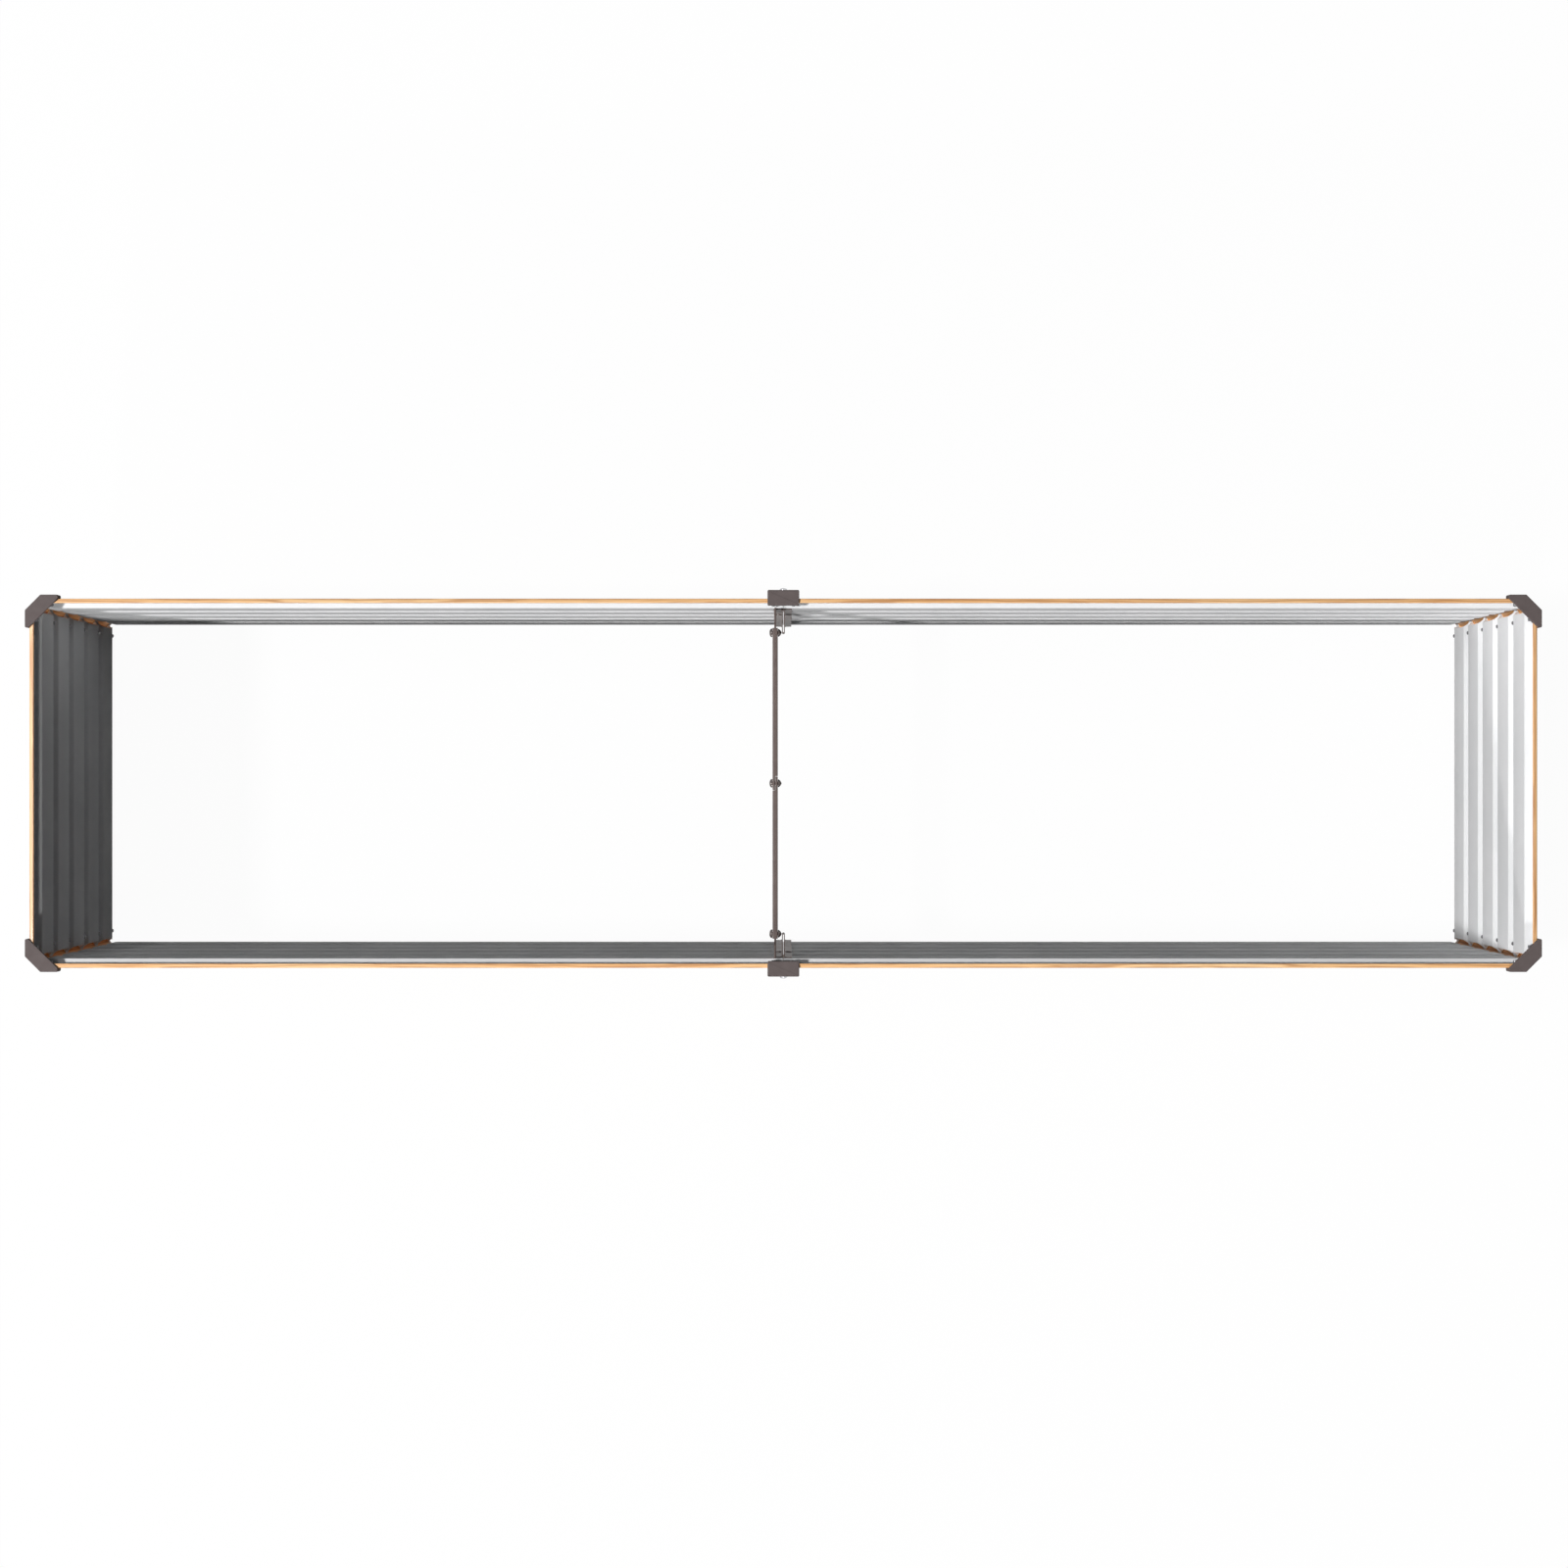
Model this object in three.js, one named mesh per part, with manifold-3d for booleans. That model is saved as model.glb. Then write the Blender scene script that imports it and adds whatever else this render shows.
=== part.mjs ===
// Raised garden bed: a bottomless, rectangular planter of ribbed steel panels.
//
// Each end wall is one panel. Each long wall is two panels that meet at a mid post.
// Folded posts join the corners, moulded caps cover every post, and a cross brace
// near the rim ties the two long walls together.
//
// Millimetres, +Z up. The origin is on the ground under the middle of the bed,
// X runs along the bed and Y across it.

import * as THREE from 'three';
import { mergeVertices } from 'three/addons/utils/BufferGeometryUtils.js';
import Module from 'manifold-3d';

const wasm = await Module();
wasm.setup();

// ---------------------------------------------------------------- driving sizes

// Outer faces of the ribbed walls.
const WALL_LENGTH = 2425;
const WALL_WIDTH = 594;

// Ribbed sheet: wide faces stand inwards, narrow ridges stand outwards.
const SHEET = 1.0;
const RIB_COUNT = 5;
const RIB_DEPTH = 13;
const FACE_HEIGHT = 53;
const SLOPE_HEIGHT = 6.75;
const RIDGE_HEIGHT = 12;
const EDGE_HEIGHT = 16.25;
const HEM_WIDTH = 7.2;
const HEM_LIP = 3.5;
const HEM_RADIUS = 1.7;
const FACE_SETBACK = 4;
const CORNER_TAB = 7;

// Gap between two pieces that touch, and round a shank in its hole.
const TOUCH = 0.3;
const HOLE_CLEARANCE = 0.4;

// Corner post and its cap.
const POST_SHEET = 1.2;
const CAP_WALL = 1.3;
const CAP_PLATE = 2;
const CAP_LEG = 53;
const CAP_CHAMFER = 24.9;
const CAP_BAND = 24.4;
const CAP_SKIRT = 14;

// Cover over each long wall's seam, its cap and the screw that holds the cap.
const COVER_WIDTH = 47.8;
const COVER_DEPTH = 11.8;
const COVER_LIP = 14;
const MID_CAP_OVERHANG = 3.9;
const MID_CAP_LIP = 7;
const MID_SKIRT = 20;
const CAP_SCREW_DIAMETER = 5;
const CAP_SCREW_HEAD_DIAMETER = 12;
const CAP_SCREW_HEAD_HEIGHT = 3.5;
const CAP_SCREW_LENGTH = 10;
const CAP_SCREW_BELOW_RIM = 9;

// Bracket inside each seam: two flanges on the wall, joined near the rim by a lug
// folded from the same sheet, with a second lug for the brace.
const STRIP_SHEET = 1.5;
const STRIP_LEFT = -15.5;
const STRIP_RIGHT = 14;
const STRIP_BELOW_RIM = 25;
const STRIP_BOLT_OFFSETS = [-7, 8];
const FOLD_WIDTH = 4.8;
const FOLD_REACH = 38;
const FOLD_TIP = 28;
const LUG_SHEET = 3;
const LUG_HEIGHT = 60;
const LUG_DEPTH = 20;

// Panel fasteners.
const BOLT_DIAMETER = 6;
const BOLT_HEAD_DIAMETER = 12;
const BOLT_HEAD_HEIGHT = 2.8;
const BOLT_REACH = 11;
const NUT_ACROSS_FLATS = 10;
const NUT_HEIGHT = 5;
const CORNER_BOLT_INSET = 33;
const SEAM_BOLT_OFFSET = 16.3;

// Cross brace: two square-edged tubes, lapped and bolted in the middle.
const BRACE_X = -13.3;
const BRACE_BELOW_RIM = 38;
const BRACE_THICKNESS = 8.5;
const BRACE_HEIGHT = 16;
const BRACE_WALL = 1.2;
const BRACE_END_INSET = 45;
const BRACE_BOLT_MARGIN = 7.6;
const BRACE_LAP = 22;
const BRACE_NECK = 1;
const BRACE_HEAD_DIAMETER = 14;
const BRACE_HEAD_HEIGHT = 4.8;
const CAP_NUT_DIAMETER = 13;
const CAP_NUT_LENGTH = 6;

// ---------------------------------------------------------------- derived sizes

const PITCH = FACE_HEIGHT + 2 * SLOPE_HEIGHT + RIDGE_HEIGHT;
const WALL_HEIGHT = 2 * EDGE_HEIGHT + RIB_COUNT * PITCH - RIDGE_HEIGHT;
const WALL_X = WALL_LENGTH / 2;
const WALL_Y = WALL_WIDTH / 2;
const FACE_PLANE = RIB_DEPTH + SHEET;

const CAP_PROUD = TOUCH + POST_SHEET + TOUCH + BOLT_HEAD_HEIGHT + TOUCH + CAP_WALL;
const CAP_X = WALL_X + CAP_PROUD;
const CAP_Y = WALL_Y + CAP_PROUD;
const CAP_SUM = CAP_X + CAP_Y - CAP_CHAMFER;
const CAP_BASE = WALL_HEIGHT + TOUCH;
const POST_SUM = CAP_SUM - Math.SQRT2 * (CAP_WALL + TOUCH + POST_SHEET);
const PANEL_END_X = POST_SUM - Math.SQRT2 * TOUCH - WALL_Y;
const PANEL_END_Y = POST_SUM - Math.SQRT2 * TOUCH - WALL_X;

const COVER_OUTER = WALL_Y + TOUCH + COVER_DEPTH;
const MID_CAP_HALF = COVER_WIDTH / 2 + TOUCH + CAP_WALL;
const MID_CAP_OUTER = COVER_OUTER + TOUCH + CAP_WALL;
const MID_CAP_INNER = WALL_Y - HEM_WIDTH - MID_CAP_OVERHANG;
const CAP_SCREW_Z = WALL_HEIGHT - CAP_SCREW_BELOW_RIM;

const STRIP_OUTER = WALL_Y - FACE_PLANE - TOUCH;
const STRIP_INNER = STRIP_OUTER - STRIP_SHEET;
const STRIP_BOLT_Z = faceCentre(RIB_COUNT - 2);
const BRACE_Z = WALL_HEIGHT - BRACE_BELOW_RIM;
const BRACE_END = WALL_Y - BRACE_END_INSET;
const BRACE_BOLT_Y = BRACE_END - BRACE_BOLT_MARGIN;
const CORNER_BOLT_X = WALL_X - CORNER_BOLT_INSET;
const CORNER_BOLT_Y = WALL_Y - CORNER_BOLT_INSET;

// Height of the bolt that passes through ridge number k, counted from the ground.
function ridgeCentre(k) {
  return EDGE_HEIGHT - RIDGE_HEIGHT / 2 + k * PITCH;
}

// Height of the middle of inner face number k, counted from the ground.
function faceCentre(k) {
  return EDGE_HEIGHT + SLOPE_HEIGHT + FACE_HEIGHT / 2 + k * PITCH;
}

// ---------------------------------------------------------------- solid helpers

// A closed three.js geometry as a solid that can be joined and cut.
function solid(geometry) {
  geometry.deleteAttribute('normal');
  geometry.deleteAttribute('uv');
  const merged = mergeVertices(geometry, 1e-4);
  const vertProperties = new Float32Array(merged.attributes.position.array);
  const triVerts = new Uint32Array(merged.index.array);
  return new wasm.Manifold(new wasm.Mesh({ numProp: 3, vertProperties, triVerts }));
}

// A solid back as a three.js geometry with flat faces.
function geometryOf(body) {
  const mesh = body.getMesh();
  const geometry = new THREE.BufferGeometry();
  geometry.setAttribute('position', new THREE.BufferAttribute(mesh.vertProperties, 3));
  geometry.setIndex(new THREE.BufferAttribute(mesh.triVerts, 1));
  const faceted = geometry.toNonIndexed();
  faceted.computeVertexNormals();
  return faceted;
}

// An outline drawn as [x, y] and extruded along +Z, whichever way round it is drawn.
function prism(points, bottom, top) {
  const outline = points.map(([x, y]) => new THREE.Vector2(x, y));
  if (THREE.ShapeUtils.isClockWise(outline)) {
    outline.reverse();
  }
  const geometry = new THREE.ExtrudeGeometry(new THREE.Shape(outline), {
    depth: top - bottom,
    bevelEnabled: false,
  });
  geometry.translate(0, 0, bottom);
  return geometry;
}

// An outline drawn as [y, z] and extruded along +X.
function prismAlongX(points, start, end) {
  const geometry = prism(points, start, end);
  const axes = [[0, 1, 0], [0, 0, 1], [1, 0, 0]].map((axis) => new THREE.Vector3(...axis));
  geometry.applyMatrix4(new THREE.Matrix4().makeBasis(...axes));
  return geometry;
}

function box(low, high) {
  const geometry = new THREE.BoxGeometry(high[0] - low[0], high[1] - low[1], high[2] - low[2]);
  geometry.translate((low[0] + high[0]) / 2, (low[1] + high[1]) / 2, (low[2] + high[2]) / 2);
  return geometry;
}

// A solid of revolution about +Y from pairs of [radius, y], closed on the axis.
function turned(profile, sides) {
  const points = profile.map(([radius, y]) => new THREE.Vector2(radius, y));
  return new THREE.LatheGeometry(points, sides);
}

// A round rod along +Y.
function rod(radius, low, high, sides) {
  return turned([[0, low], [radius, low], [radius, high], [0, high]], sides);
}

// A hexagonal prism along +Y with flats above and below.
function hexagon(acrossFlats, low, high) {
  const prismAlongY = rod(acrossFlats / Math.sqrt(3), low, high, 6);
  prismAlongY.rotateY(Math.PI / 6);
  return prismAlongY;
}

// The line beside a path, a given distance to the left of its direction, with mitred corners.
function besidePath(path, distance) {
  const normals = path.slice(1).map(([x, y], i) => {
    const dx = x - path[i][0];
    const dy = y - path[i][1];
    const length = Math.hypot(dx, dy);
    return [-dy / length, dx / length];
  });
  return path.map(([x, y], i) => {
    const before = normals[Math.max(i - 1, 0)];
    const after = normals[Math.min(i, normals.length - 1)];
    const scale = distance / (1 + before[0] * after[0] + before[1] * after[1]);
    return [x + (before[0] + after[0]) * scale, y + (before[1] + after[1]) * scale];
  });
}

// The outline of a bent sheet: the path is one skin and the other lies to its left.
function bentSheet(path, thickness) {
  return [...path, ...besidePath(path, thickness).reverse()];
}

// Points of a quarter bend that turns from one compass angle to another, in degrees.
function bend(centreX, centreY, radius, fromDegrees, toDegrees, steps) {
  const points = [];
  for (let i = 0; i <= steps; i += 1) {
    const angle = THREE.MathUtils.degToRad(fromDegrees + ((toDegrees - fromDegrees) * i) / steps);
    points.push([centreX + radius * Math.cos(angle), centreY + radius * Math.sin(angle)]);
  }
  return points;
}

// ---------------------------------------------------------------- assembly helpers

const bed = new THREE.Group();

const FINISHES = {
  coated: { color: 0xc9925c, roughness: 0.5, metalness: 0.1 },
  cap: { color: 0x6b5f5c, roughness: 0.55, metalness: 0.0 },
  bracket: { color: 0x5f5856, roughness: 0.5, metalness: 0.3 },
  fastener: { color: 0x8d8f92, roughness: 0.35, metalness: 0.8 },
};

function addPiece(parent, name, finish, geometry) {
  const mesh = new THREE.Mesh(geometry, new THREE.MeshStandardMaterial(FINISHES[finish]));
  mesh.name = name;
  parent.add(mesh);
  return mesh;
}

// A frame whose +Y points outwards through one wall, turned about the bed's middle.
function wallFrame(quarterTurns) {
  const frame = new THREE.Group();
  frame.rotation.z = (quarterTurns * Math.PI) / 2;
  bed.add(frame);
  return frame;
}

// A copy mirrored across X or Y, with its faces still pointing out.
function mirrored(geometry, signX, signY) {
  const copy = geometry.clone();
  copy.scale(signX, signY, 1);
  if (signX * signY < 0) {
    const position = copy.attributes.position;
    for (let i = 0; i < position.count; i += 3) {
      const first = [position.getX(i), position.getY(i), position.getZ(i)];
      position.setXYZ(i, position.getX(i + 1), position.getY(i + 1), position.getZ(i + 1));
      position.setXYZ(i + 1, ...first);
    }
  }
  copy.computeVertexNormals();
  return copy;
}

// ---------------------------------------------------------------- ribbed panels

// Outer skin of the ribbed sheet from the bottom hem to the top hem, as [y, z] with
// the outermost skin at y = 0.
function ribbedSkin() {
  const inner = -HEM_WIDTH;
  const r = HEM_RADIUS;
  const path = [[inner, HEM_LIP]];
  path.push(...bend(inner + r, r, r, 180, 270, 2));
  path.push(...bend(-r, r, r, 270, 360, 2));
  for (let k = 0; k < RIB_COUNT; k += 1) {
    const faceBottom = faceCentre(k) - FACE_HEIGHT / 2;
    const faceTop = faceCentre(k) + FACE_HEIGHT / 2;
    path.push([0, faceBottom - SLOPE_HEIGHT]);
    path.push([-RIB_DEPTH, faceBottom]);
    path.push([-RIB_DEPTH, faceTop]);
    path.push([0, faceTop + SLOPE_HEIGHT]);
  }
  path.push(...bend(-r, WALL_HEIGHT - r, r, 0, 90, 3));
  path.push(...bend(inner + r, WALL_HEIGHT - r, r, 90, 180, 3));
  path.push([inner, WALL_HEIGHT - HEM_LIP]);
  return path;
}

// One ribbed panel from x = start to x = end, with its outermost skin at y = wallY.
// cutEnds lists the ends, -1 or 1, where the inner faces stop short of the post,
// and bolts lists the [x, z] of each hole.
function ribbedPanel(start, end, wallY, cutEnds, bolts) {
  const sheet = prismAlongX(bentSheet(ribbedSkin(), SHEET), start, end);
  sheet.translate(0, wallY, 0);
  let panel = solid(sheet);
  for (const side of cutEnds) {
    const tip = side > 0 ? end : start;
    const inward = tip - side * FACE_SETBACK;
    const outward = tip + side * SHEET;
    const low = [Math.min(inward, outward), wallY - 2 * FACE_PLANE, -SHEET];
    const high = [Math.max(inward, outward), wallY - HEM_WIDTH - TOUCH, WALL_HEIGHT + SHEET];
    panel = panel.subtract(solid(box(low, high)));
    panel = panel.add(cornerTabs(tip, side, wallY));
  }
  return drillAcross(panel, bolts, wallY);
}

// A tab at every ridge, turned in at 45 degrees along the face across the post.
function cornerTabs(tip, side, wallY) {
  const run = CORNER_TAB / Math.SQRT2;
  const path = [
    [tip - side * SHEET, wallY],
    [tip, wallY],
    [tip + side * run, wallY - run],
  ];
  const plan = bentSheet(path, -side * SHEET);
  const half = RIDGE_HEIGHT / 2 - SHEET;
  const tabs = boltColumn(tip).map(([, z]) => solid(prism(plan, z - half, z + half)));
  return tabs.reduce((joined, tab) => joined.add(tab));
}

// Drills a bolt hole along Y at each [x, z] through every sheet near y = wallY.
function drillAcross(body, bolts, wallY) {
  let drilled = body;
  for (const [x, z] of bolts) {
    const radius = BOLT_DIAMETER / 2 + HOLE_CLEARANCE;
    const hole = rod(radius, wallY - FACE_PLANE - LUG_SHEET, wallY + COVER_DEPTH / 2, 10);
    hole.translate(x, 0, z);
    drilled = drilled.subtract(solid(hole));
  }
  return drilled;
}

// Every ridge level as [x, z] at one distance along the wall.
function boltColumn(x) {
  const column = [];
  for (let k = 0; k <= RIB_COUNT; k += 1) {
    column.push([x, ridgeCentre(k)]);
  }
  return column;
}

// ---------------------------------------------------------------- panel fasteners

// A screw along Y with a rounded head beyond y = headSeat and a nut below y = nutSeat.
function boltWithNut(headSeat, nutSeat) {
  const headRadius = BOLT_HEAD_DIAMETER / 2;
  const radius = BOLT_DIAMETER / 2;
  const seat = headSeat + TOUCH;
  const crown = seat + BOLT_HEAD_HEIGHT;
  const tip = nutSeat - BOLT_REACH;
  const screw = turned([
    [0, tip],
    [radius - 1, tip],
    [radius, tip + 1],
    [radius, seat],
    [headRadius, seat],
    [headRadius * 0.86, crown - BOLT_HEAD_HEIGHT * 0.45],
    [headRadius * 0.45, crown],
    [0, crown],
  ], 10);
  const nut = hexagon(NUT_ACROSS_FLATS, nutSeat - TOUCH - NUT_HEIGHT, nutSeat - TOUCH);
  return geometryOf(solid(screw).add(solid(nut)));
}

// The bottom and top fasteners of one column.
function addColumnBolts(frame, name, x, wallY) {
  for (const [label, k] of [['low', 0], ['high', RIB_COUNT]]) {
    const fixing = boltWithNut(wallY + TOUCH + POST_SHEET, wallY - SHEET);
    const bolt = addPiece(frame, `${name}_${label}_bolt`, 'fastener', fixing);
    bolt.position.set(x, 0, ridgeCentre(k));
  }
}

// ---------------------------------------------------------------- end walls

for (const [name, turns] of [['right', -1], ['left', 1]]) {
  const frame = wallFrame(turns);
  const bolts = [...boltColumn(-CORNER_BOLT_Y), ...boltColumn(CORNER_BOLT_Y)];
  const panel = ribbedPanel(-PANEL_END_Y, PANEL_END_Y, WALL_X, [-1, 1], bolts);
  addPiece(frame, `${name}_end_panel`, 'coated', geometryOf(panel));
  for (const side of [-1, 1]) {
    const corner = side * turns > 0 ? 'back' : 'front';
    addColumnBolts(frame, `${name}_end_${corner}`, side * CORNER_BOLT_Y, WALL_X);
  }
}

// ---------------------------------------------------------------- long walls

for (const [name, turns] of [['back', 0], ['front', 2]]) {
  const frame = wallFrame(turns);
  for (const side of [-1, 1]) {
    const label = side * (1 - turns) > 0 ? 'right' : 'left';
    const stripBolt = name === 'back' ? side : -side;
    const near = side * TOUCH;
    const far = side * PANEL_END_X;
    const bolts = [
      ...boltColumn(side * SEAM_BOLT_OFFSET),
      ...boltColumn(side * CORNER_BOLT_X),
      [stripBoltX(stripBolt) * (1 - turns), STRIP_BOLT_Z],
    ];
    const panel = ribbedPanel(Math.min(near, far), Math.max(near, far), WALL_Y, [side], bolts);
    addPiece(frame, `${name}_${label}_panel`, 'coated', geometryOf(panel));
    addColumnBolts(frame, `${name}_${label}_corner`, side * CORNER_BOLT_X, WALL_Y);
    addColumnBolts(frame, `${name}_${label}_seam`, side * SEAM_BOLT_OFFSET, WALL_Y);
  }
}

// Distance along the bed of the bracket's left (-1) or right (1) bolt.
function stripBoltX(side) {
  return STRIP_BOLT_OFFSETS[side > 0 ? 1 : 0];
}

// ---------------------------------------------------------------- corner posts and caps

// Plan of the post in the +X +Y corner: two legs and a face across the corner.
function postPlan() {
  const skinX = WALL_X + TOUCH;
  const skinY = WALL_Y + TOUCH;
  const path = [
    [CAP_X - CAP_LEG + CAP_WALL + TOUCH, skinY],
    [POST_SUM - skinY, skinY],
    [skinX, POST_SUM - skinX],
    [skinX, CAP_Y - CAP_LEG + CAP_WALL + TOUCH],
  ];
  return bentSheet(path, POST_SHEET);
}

// Post with a row of holes in each leg.
function cornerPost() {
  let post = solid(prism(postPlan(), 0, WALL_HEIGHT));
  for (const [, z] of boltColumn(0)) {
    const radius = BOLT_DIAMETER / 2 + HOLE_CLEARANCE;
    const throughY = rod(radius, WALL_Y - SHEET, WALL_Y + CAP_PROUD, 10);
    throughY.translate(CORNER_BOLT_X, 0, z);
    const throughX = rod(radius, WALL_X - SHEET, WALL_X + CAP_PROUD, 10);
    throughX.rotateZ(-Math.PI / 2);
    throughX.translate(0, CORNER_BOLT_Y, z);
    post = post.subtract(solid(throughY)).subtract(solid(throughX));
  }
  return geometryOf(post);
}

// Cap with a flat top, a skirt round the outside and a straight inner edge at 45 degrees.
function cornerCap() {
  const legX = CAP_X - CAP_LEG;
  const legY = CAP_Y - CAP_LEG;
  const innerSum = CAP_SUM - Math.SQRT2 * CAP_BAND;
  const outside = [
    [CAP_X, legY],
    [CAP_X, CAP_Y - CAP_CHAMFER],
    [CAP_X - CAP_CHAMFER, CAP_Y],
    [legX, CAP_Y],
  ];
  const plate = [...outside, [legX, innerSum - legX], [innerSum - legY, legY]];
  const skirt = [[WALL_X + TOUCH, legY], ...outside, [legX, WALL_Y + TOUCH]];
  const top = solid(prism(plate, CAP_BASE, CAP_BASE + CAP_PLATE));
  const rim = prism(bentSheet(skirt, CAP_WALL), CAP_BASE - CAP_SKIRT, CAP_BASE + CAP_PLATE / 2);
  return geometryOf(top.add(solid(rim)));
}

const postGeometry = cornerPost();
const capGeometry = cornerCap();
for (const [depth, signY] of [['back', 1], ['front', -1]]) {
  for (const [hand, signX] of [['right', 1], ['left', -1]]) {
    addPiece(bed, `${depth}_${hand}_corner_post`, 'coated', mirrored(postGeometry, signX, signY));
    addPiece(bed, `${depth}_${hand}_corner_cap`, 'cap', mirrored(capGeometry, signX, signY));
  }
}

// ---------------------------------------------------------------- mid posts

// Boxed cover over the seam: open towards the wall, with a bolted lip each side.
function seamCover() {
  const half = COVER_WIDTH / 2;
  const inner = WALL_Y + TOUCH;
  const path = [
    [half - COVER_LIP, inner],
    [half, inner],
    [half, COVER_OUTER],
    [-half, COVER_OUTER],
    [-half, inner],
    [COVER_LIP - half, inner],
  ];
  let cover = solid(prism(bentSheet(path, POST_SHEET), 0, WALL_HEIGHT));
  const bolts = [...boltColumn(-SEAM_BOLT_OFFSET), ...boltColumn(SEAM_BOLT_OFFSET)];
  cover = drillAcross(cover, bolts, WALL_Y);
  return cover.subtract(solid(capScrewHole()));
}

// The hole for the cap screw through the cap's skirt and the cover's face.
function capScrewHole() {
  const radius = CAP_SCREW_DIAMETER / 2 + HOLE_CLEARANCE;
  const hole = rod(radius, COVER_OUTER - 2 * POST_SHEET, MID_CAP_OUTER + POST_SHEET, 10);
  hole.translate(0, 0, CAP_SCREW_Z);
  return hole;
}

// Cap over the mid post: flat top, skirt on three sides and a lip inside the bed.
function midCap() {
  const outside = [
    [MID_CAP_HALF, WALL_Y + TOUCH],
    [MID_CAP_HALF, MID_CAP_OUTER],
    [-MID_CAP_HALF, MID_CAP_OUTER],
    [-MID_CAP_HALF, WALL_Y + TOUCH],
  ];
  const middle = CAP_BASE + CAP_PLATE / 2;
  const plateLow = [-MID_CAP_HALF, MID_CAP_INNER, CAP_BASE];
  const plateHigh = [MID_CAP_HALF, MID_CAP_OUTER, CAP_BASE + CAP_PLATE];
  const lipLow = [-MID_CAP_HALF, MID_CAP_INNER, CAP_BASE - MID_CAP_LIP];
  const lipHigh = [MID_CAP_HALF, MID_CAP_INNER + CAP_WALL, middle];
  const rim = prism(bentSheet(outside, CAP_WALL), CAP_BASE - MID_SKIRT, middle);
  const cap = solid(box(plateLow, plateHigh)).add(solid(rim)).add(solid(box(lipLow, lipHigh)));
  return cap.subtract(solid(capScrewHole()));
}

// Screw along Y with a rounded head that fixes the mid cap to the cover.
function capScrew() {
  const seat = MID_CAP_OUTER + TOUCH;
  const radius = CAP_SCREW_DIAMETER / 2;
  const headRadius = CAP_SCREW_HEAD_DIAMETER / 2;
  const crown = seat + CAP_SCREW_HEAD_HEIGHT;
  return turned([
    [0, seat - CAP_SCREW_LENGTH],
    [radius, seat - CAP_SCREW_LENGTH + radius],
    [radius, seat],
    [headRadius, seat],
    [headRadius * 0.9, crown - CAP_SCREW_HEAD_HEIGHT * 0.45],
    [headRadius * 0.5, crown],
    [0, crown],
  ], 14);
}

for (const [name, turns] of [['back', 0], ['front', 2]]) {
  const frame = wallFrame(turns);
  addPiece(frame, `${name}_seam_cover`, 'coated', geometryOf(seamCover()));
  addPiece(frame, `${name}_mid_cap`, 'cap', geometryOf(midCap()));
  const screw = addPiece(frame, `${name}_mid_cap_screw`, 'fastener', capScrew());
  screw.position.z = CAP_SCREW_Z;
}

// ---------------------------------------------------------------- seam brackets

// Side view of a lug, as [y, z]: deep against the wall, then a nose of its own.
function lugOutline(nose) {
  const middle = STRIP_OUTER - STRIP_SHEET / 2;
  const deep = STRIP_INNER - LUG_DEPTH;
  const low = BRACE_Z - LUG_HEIGHT / 2;
  const high = BRACE_Z + LUG_HEIGHT / 2;
  return [[middle, low], [deep, low + LUG_HEIGHT / 6], ...nose, [deep, high - LUG_HEIGHT / 8], [middle, high]];
}

// The lug that the brace bolts to ends in a tongue that fits inside the tube.
function tongueLug() {
  const tongue = BRACE_HEIGHT / 2 - BRACE_WALL - 2 * TOUCH;
  const tip = BRACE_BOLT_Y - BRACE_BOLT_MARGIN;
  const root = BRACE_END + TOUCH;
  const outline = lugOutline([
    [root, BRACE_Z - tongue],
    [tip, BRACE_Z - tongue],
    [tip, BRACE_Z + tongue],
    [root, BRACE_Z + tongue],
  ]);
  return solid(prismAlongX(outline, BRACE_X - LUG_SHEET / 2, BRACE_X + LUG_SHEET / 2));
}

// The lug between the flanges is folded double, so it is open towards the wall.
function foldedLug() {
  const tip = STRIP_INNER - FOLD_REACH;
  const outline = lugOutline([
    [tip, BRACE_Z - FOLD_TIP / 2],
    [tip, BRACE_Z + FOLD_TIP / 2],
  ]);
  const half = FOLD_WIDTH / 2;
  const inside = half - STRIP_SHEET;
  const low = [-inside, tip + STRIP_SHEET, BRACE_Z - LUG_HEIGHT];
  const high = [inside, STRIP_OUTER + TOUCH, BRACE_Z + LUG_HEIGHT];
  return solid(prismAlongX(outline, -half, half)).subtract(solid(box(low, high)));
}

// Bracket of the back wall.
function seamBracket() {
  const top = WALL_HEIGHT - STRIP_BELOW_RIM;
  const inside = FOLD_WIDTH / 2 - STRIP_SHEET;
  const left = box([STRIP_LEFT, STRIP_INNER, 0], [-inside, STRIP_OUTER, top]);
  const right = box([inside, STRIP_INNER, 0], [STRIP_RIGHT, STRIP_OUTER, top]);
  let bracket = solid(left).add(solid(right)).add(foldedLug()).add(tongueLug());
  const bolts = [-1, 1].map((side) => [stripBoltX(side), STRIP_BOLT_Z]);
  bracket = drillAcross(bracket, bolts, WALL_Y);
  return geometryOf(bracket.subtract(solid(braceHole(BRACE_BOLT_Y))));
}

// A round hole along X through the brace at one distance across the bed.
function braceHole(y) {
  const radius = BOLT_DIAMETER / 2 + HOLE_CLEARANCE;
  const hole = rod(radius, BRACE_X - BRACE_THICKNESS, BRACE_X + BRACE_THICKNESS, 12);
  hole.rotateZ(-Math.PI / 2);
  hole.translate(0, y, BRACE_Z);
  return hole;
}

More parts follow.
